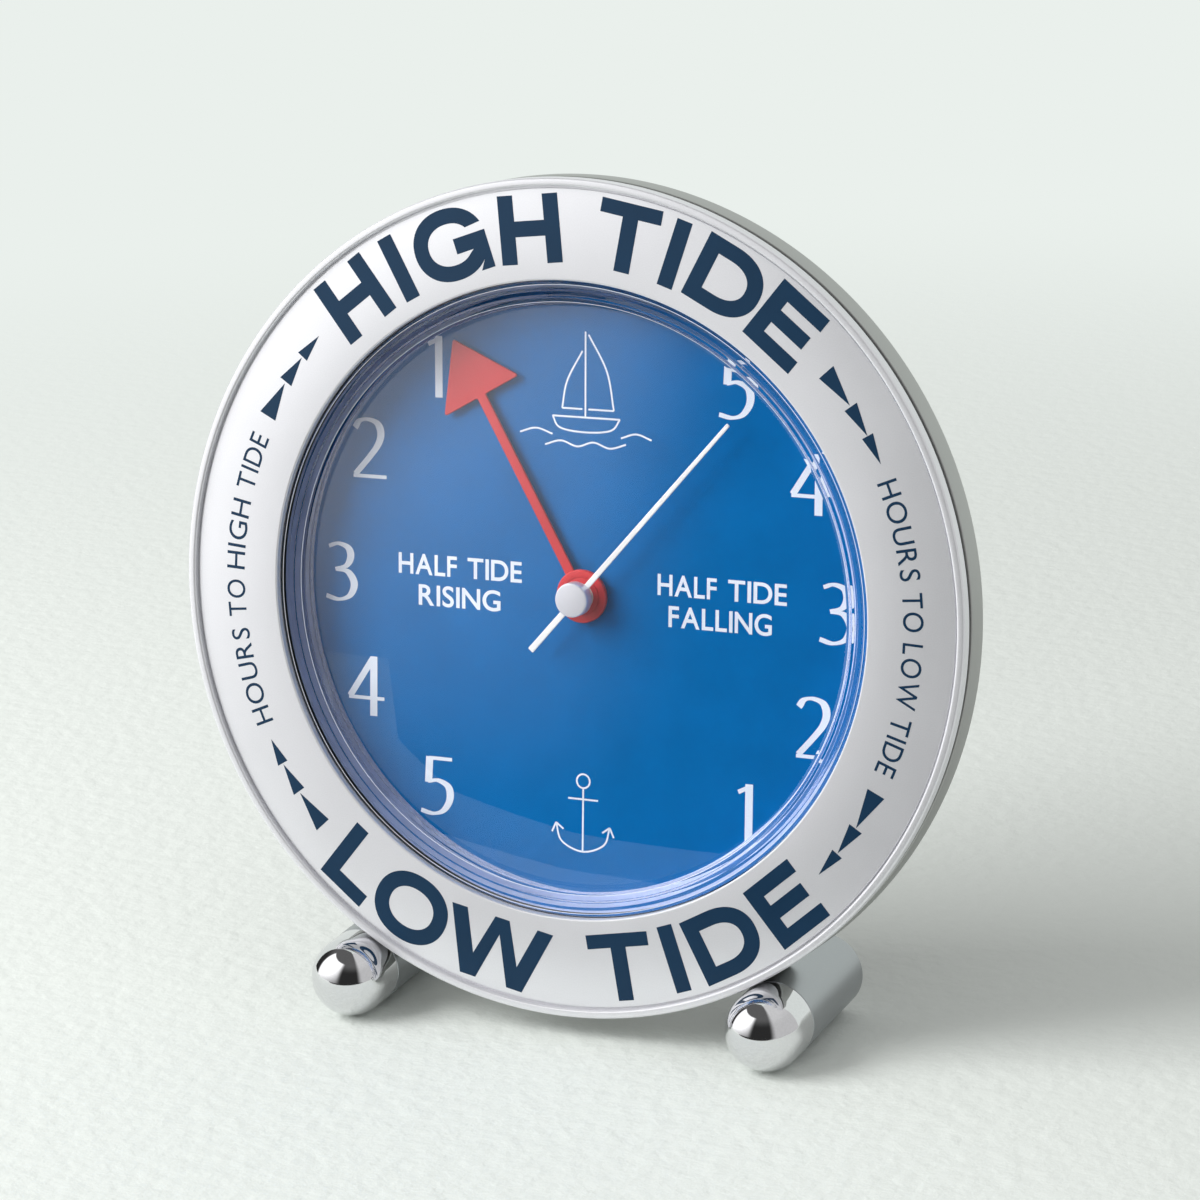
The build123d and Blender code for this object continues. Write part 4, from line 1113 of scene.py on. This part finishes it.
    def lamps(self):
        """A white fill from all round, the pale backdrop and one soft key light from the left."""
        world = bpy.data.worlds.new("Studio")
        world.use_nodes = True
        bpy.context.scene.world = world
        wires = Wiring(world.node_tree)
        fill = wires.nodes["Background"]
        wires.feed(fill.inputs["Color"], (1.0, 1.0, 1.0, 1.0))
        wires.feed(fill.inputs["Strength"], 0.52)
        behind = wires.add("Background", Color=BACKDROP)
        blend = wires.mix(wires.seen_rays(), fill.outputs["Background"], behind.outputs["Background"])
        wires.link(blend, wires.nodes["World Output"].inputs["Surface"])
        light = bpy.data.lights.new("key", "AREA")
        light.shape = "SQUARE"
        light.size = 0.8
        light.energy = 13.6
        lamp = bpy.data.objects.new("key", light)
        bpy.context.scene.collection.objects.link(lamp)
        lamp.location = (-0.80, -0.60, 0.72)
        lamp.visible_glossy = False
        aim = Vector((0, 0, 0.06)) - lamp.location
        lamp.rotation_euler = aim.to_track_quat("-Z", "Y").to_euler()

    def camera(self):
        azimuth, rise = math.radians(24.698), math.radians(-16.8367)
        flat = math.cos(rise)
        forward = Vector((-math.sin(azimuth) * flat, math.cos(azimuth) * flat, math.sin(rise)))
        level = forward.cross(Vector((0, 0, 1))).normalized()
        right = Matrix.Rotation(math.radians(2.589), 3, forward) @ level
        up = right.cross(forward)
        lens = bpy.data.cameras.new("camera")
        lens.lens = 121.426
        lens.sensor_width = 36.0
        lens.clip_start = 0.01
        camera = bpy.data.objects.new("camera", lens)
        bpy.context.scene.collection.objects.link(camera)
        turn = Matrix((right, up, -forward)).transposed().to_4x4()
        camera.matrix_world = Matrix.Translation((0.29584, -0.63498, 0.29011)) @ turn
        scene = bpy.context.scene
        scene.camera = camera
        scene.view_settings.view_transform = "Standard"


class TIDECLOCK_PT_panel(bpy.types.Panel):
    """Lists the pieces, sizes and colours of the clock"""

    bl_idname = "TIDECLOCK_PT_panel"
    bl_label = "Tide clock"
    bl_space_type = "VIEW_3D"
    bl_region_type = "UI"
    bl_category = "Tide clock"

    def draw(self, context):
        for operator in OPERATORS:
            self.layout.operator(operator.bl_idname)
        for group in (context.scene.tide_clock_sizes, context.scene.tide_clock_colours):
            box = self.layout.box()
            for key in group.bl_rna.properties.keys():
                if key not in ("rna_type", "name"):
                    box.prop(group, key)


OPERATORS = (TIDECLOCK_OT_front_ring, TIDECLOCK_OT_drum, TIDECLOCK_OT_crystal, TIDECLOCK_OT_ring_print,
             TIDECLOCK_OT_dial, TIDECLOCK_OT_tide_hand, TIDECLOCK_OT_sweep_hand, TIDECLOCK_OT_feet,
             TIDECLOCK_OT_back, TIDECLOCK_OT_works, TIDECLOCK_OT_stage)
CLASSES = (TideClockSizes, TideClockColours) + OPERATORS + (TIDECLOCK_PT_panel,)


def register():
    for cls in CLASSES:
        bpy.utils.register_class(cls)
    bpy.types.Scene.tide_clock_sizes = PointerProperty(type=TideClockSizes)
    bpy.types.Scene.tide_clock_colours = PointerProperty(type=TideClockColours)


def unregister():
    del bpy.types.Scene.tide_clock_colours
    del bpy.types.Scene.tide_clock_sizes
    for cls in reversed(CLASSES):
        bpy.utils.unregister_class(cls)


def main():
    register()
    tools = bpy.ops.tide_clock
    for make in (tools.front_ring, tools.drum, tools.crystal, tools.ring_print, tools.dial, tools.tide_hand,
                 tools.sweep_hand, tools.feet, tools.back, tools.works, tools.stage):
        make()


if __name__ == "__main__":
    main()
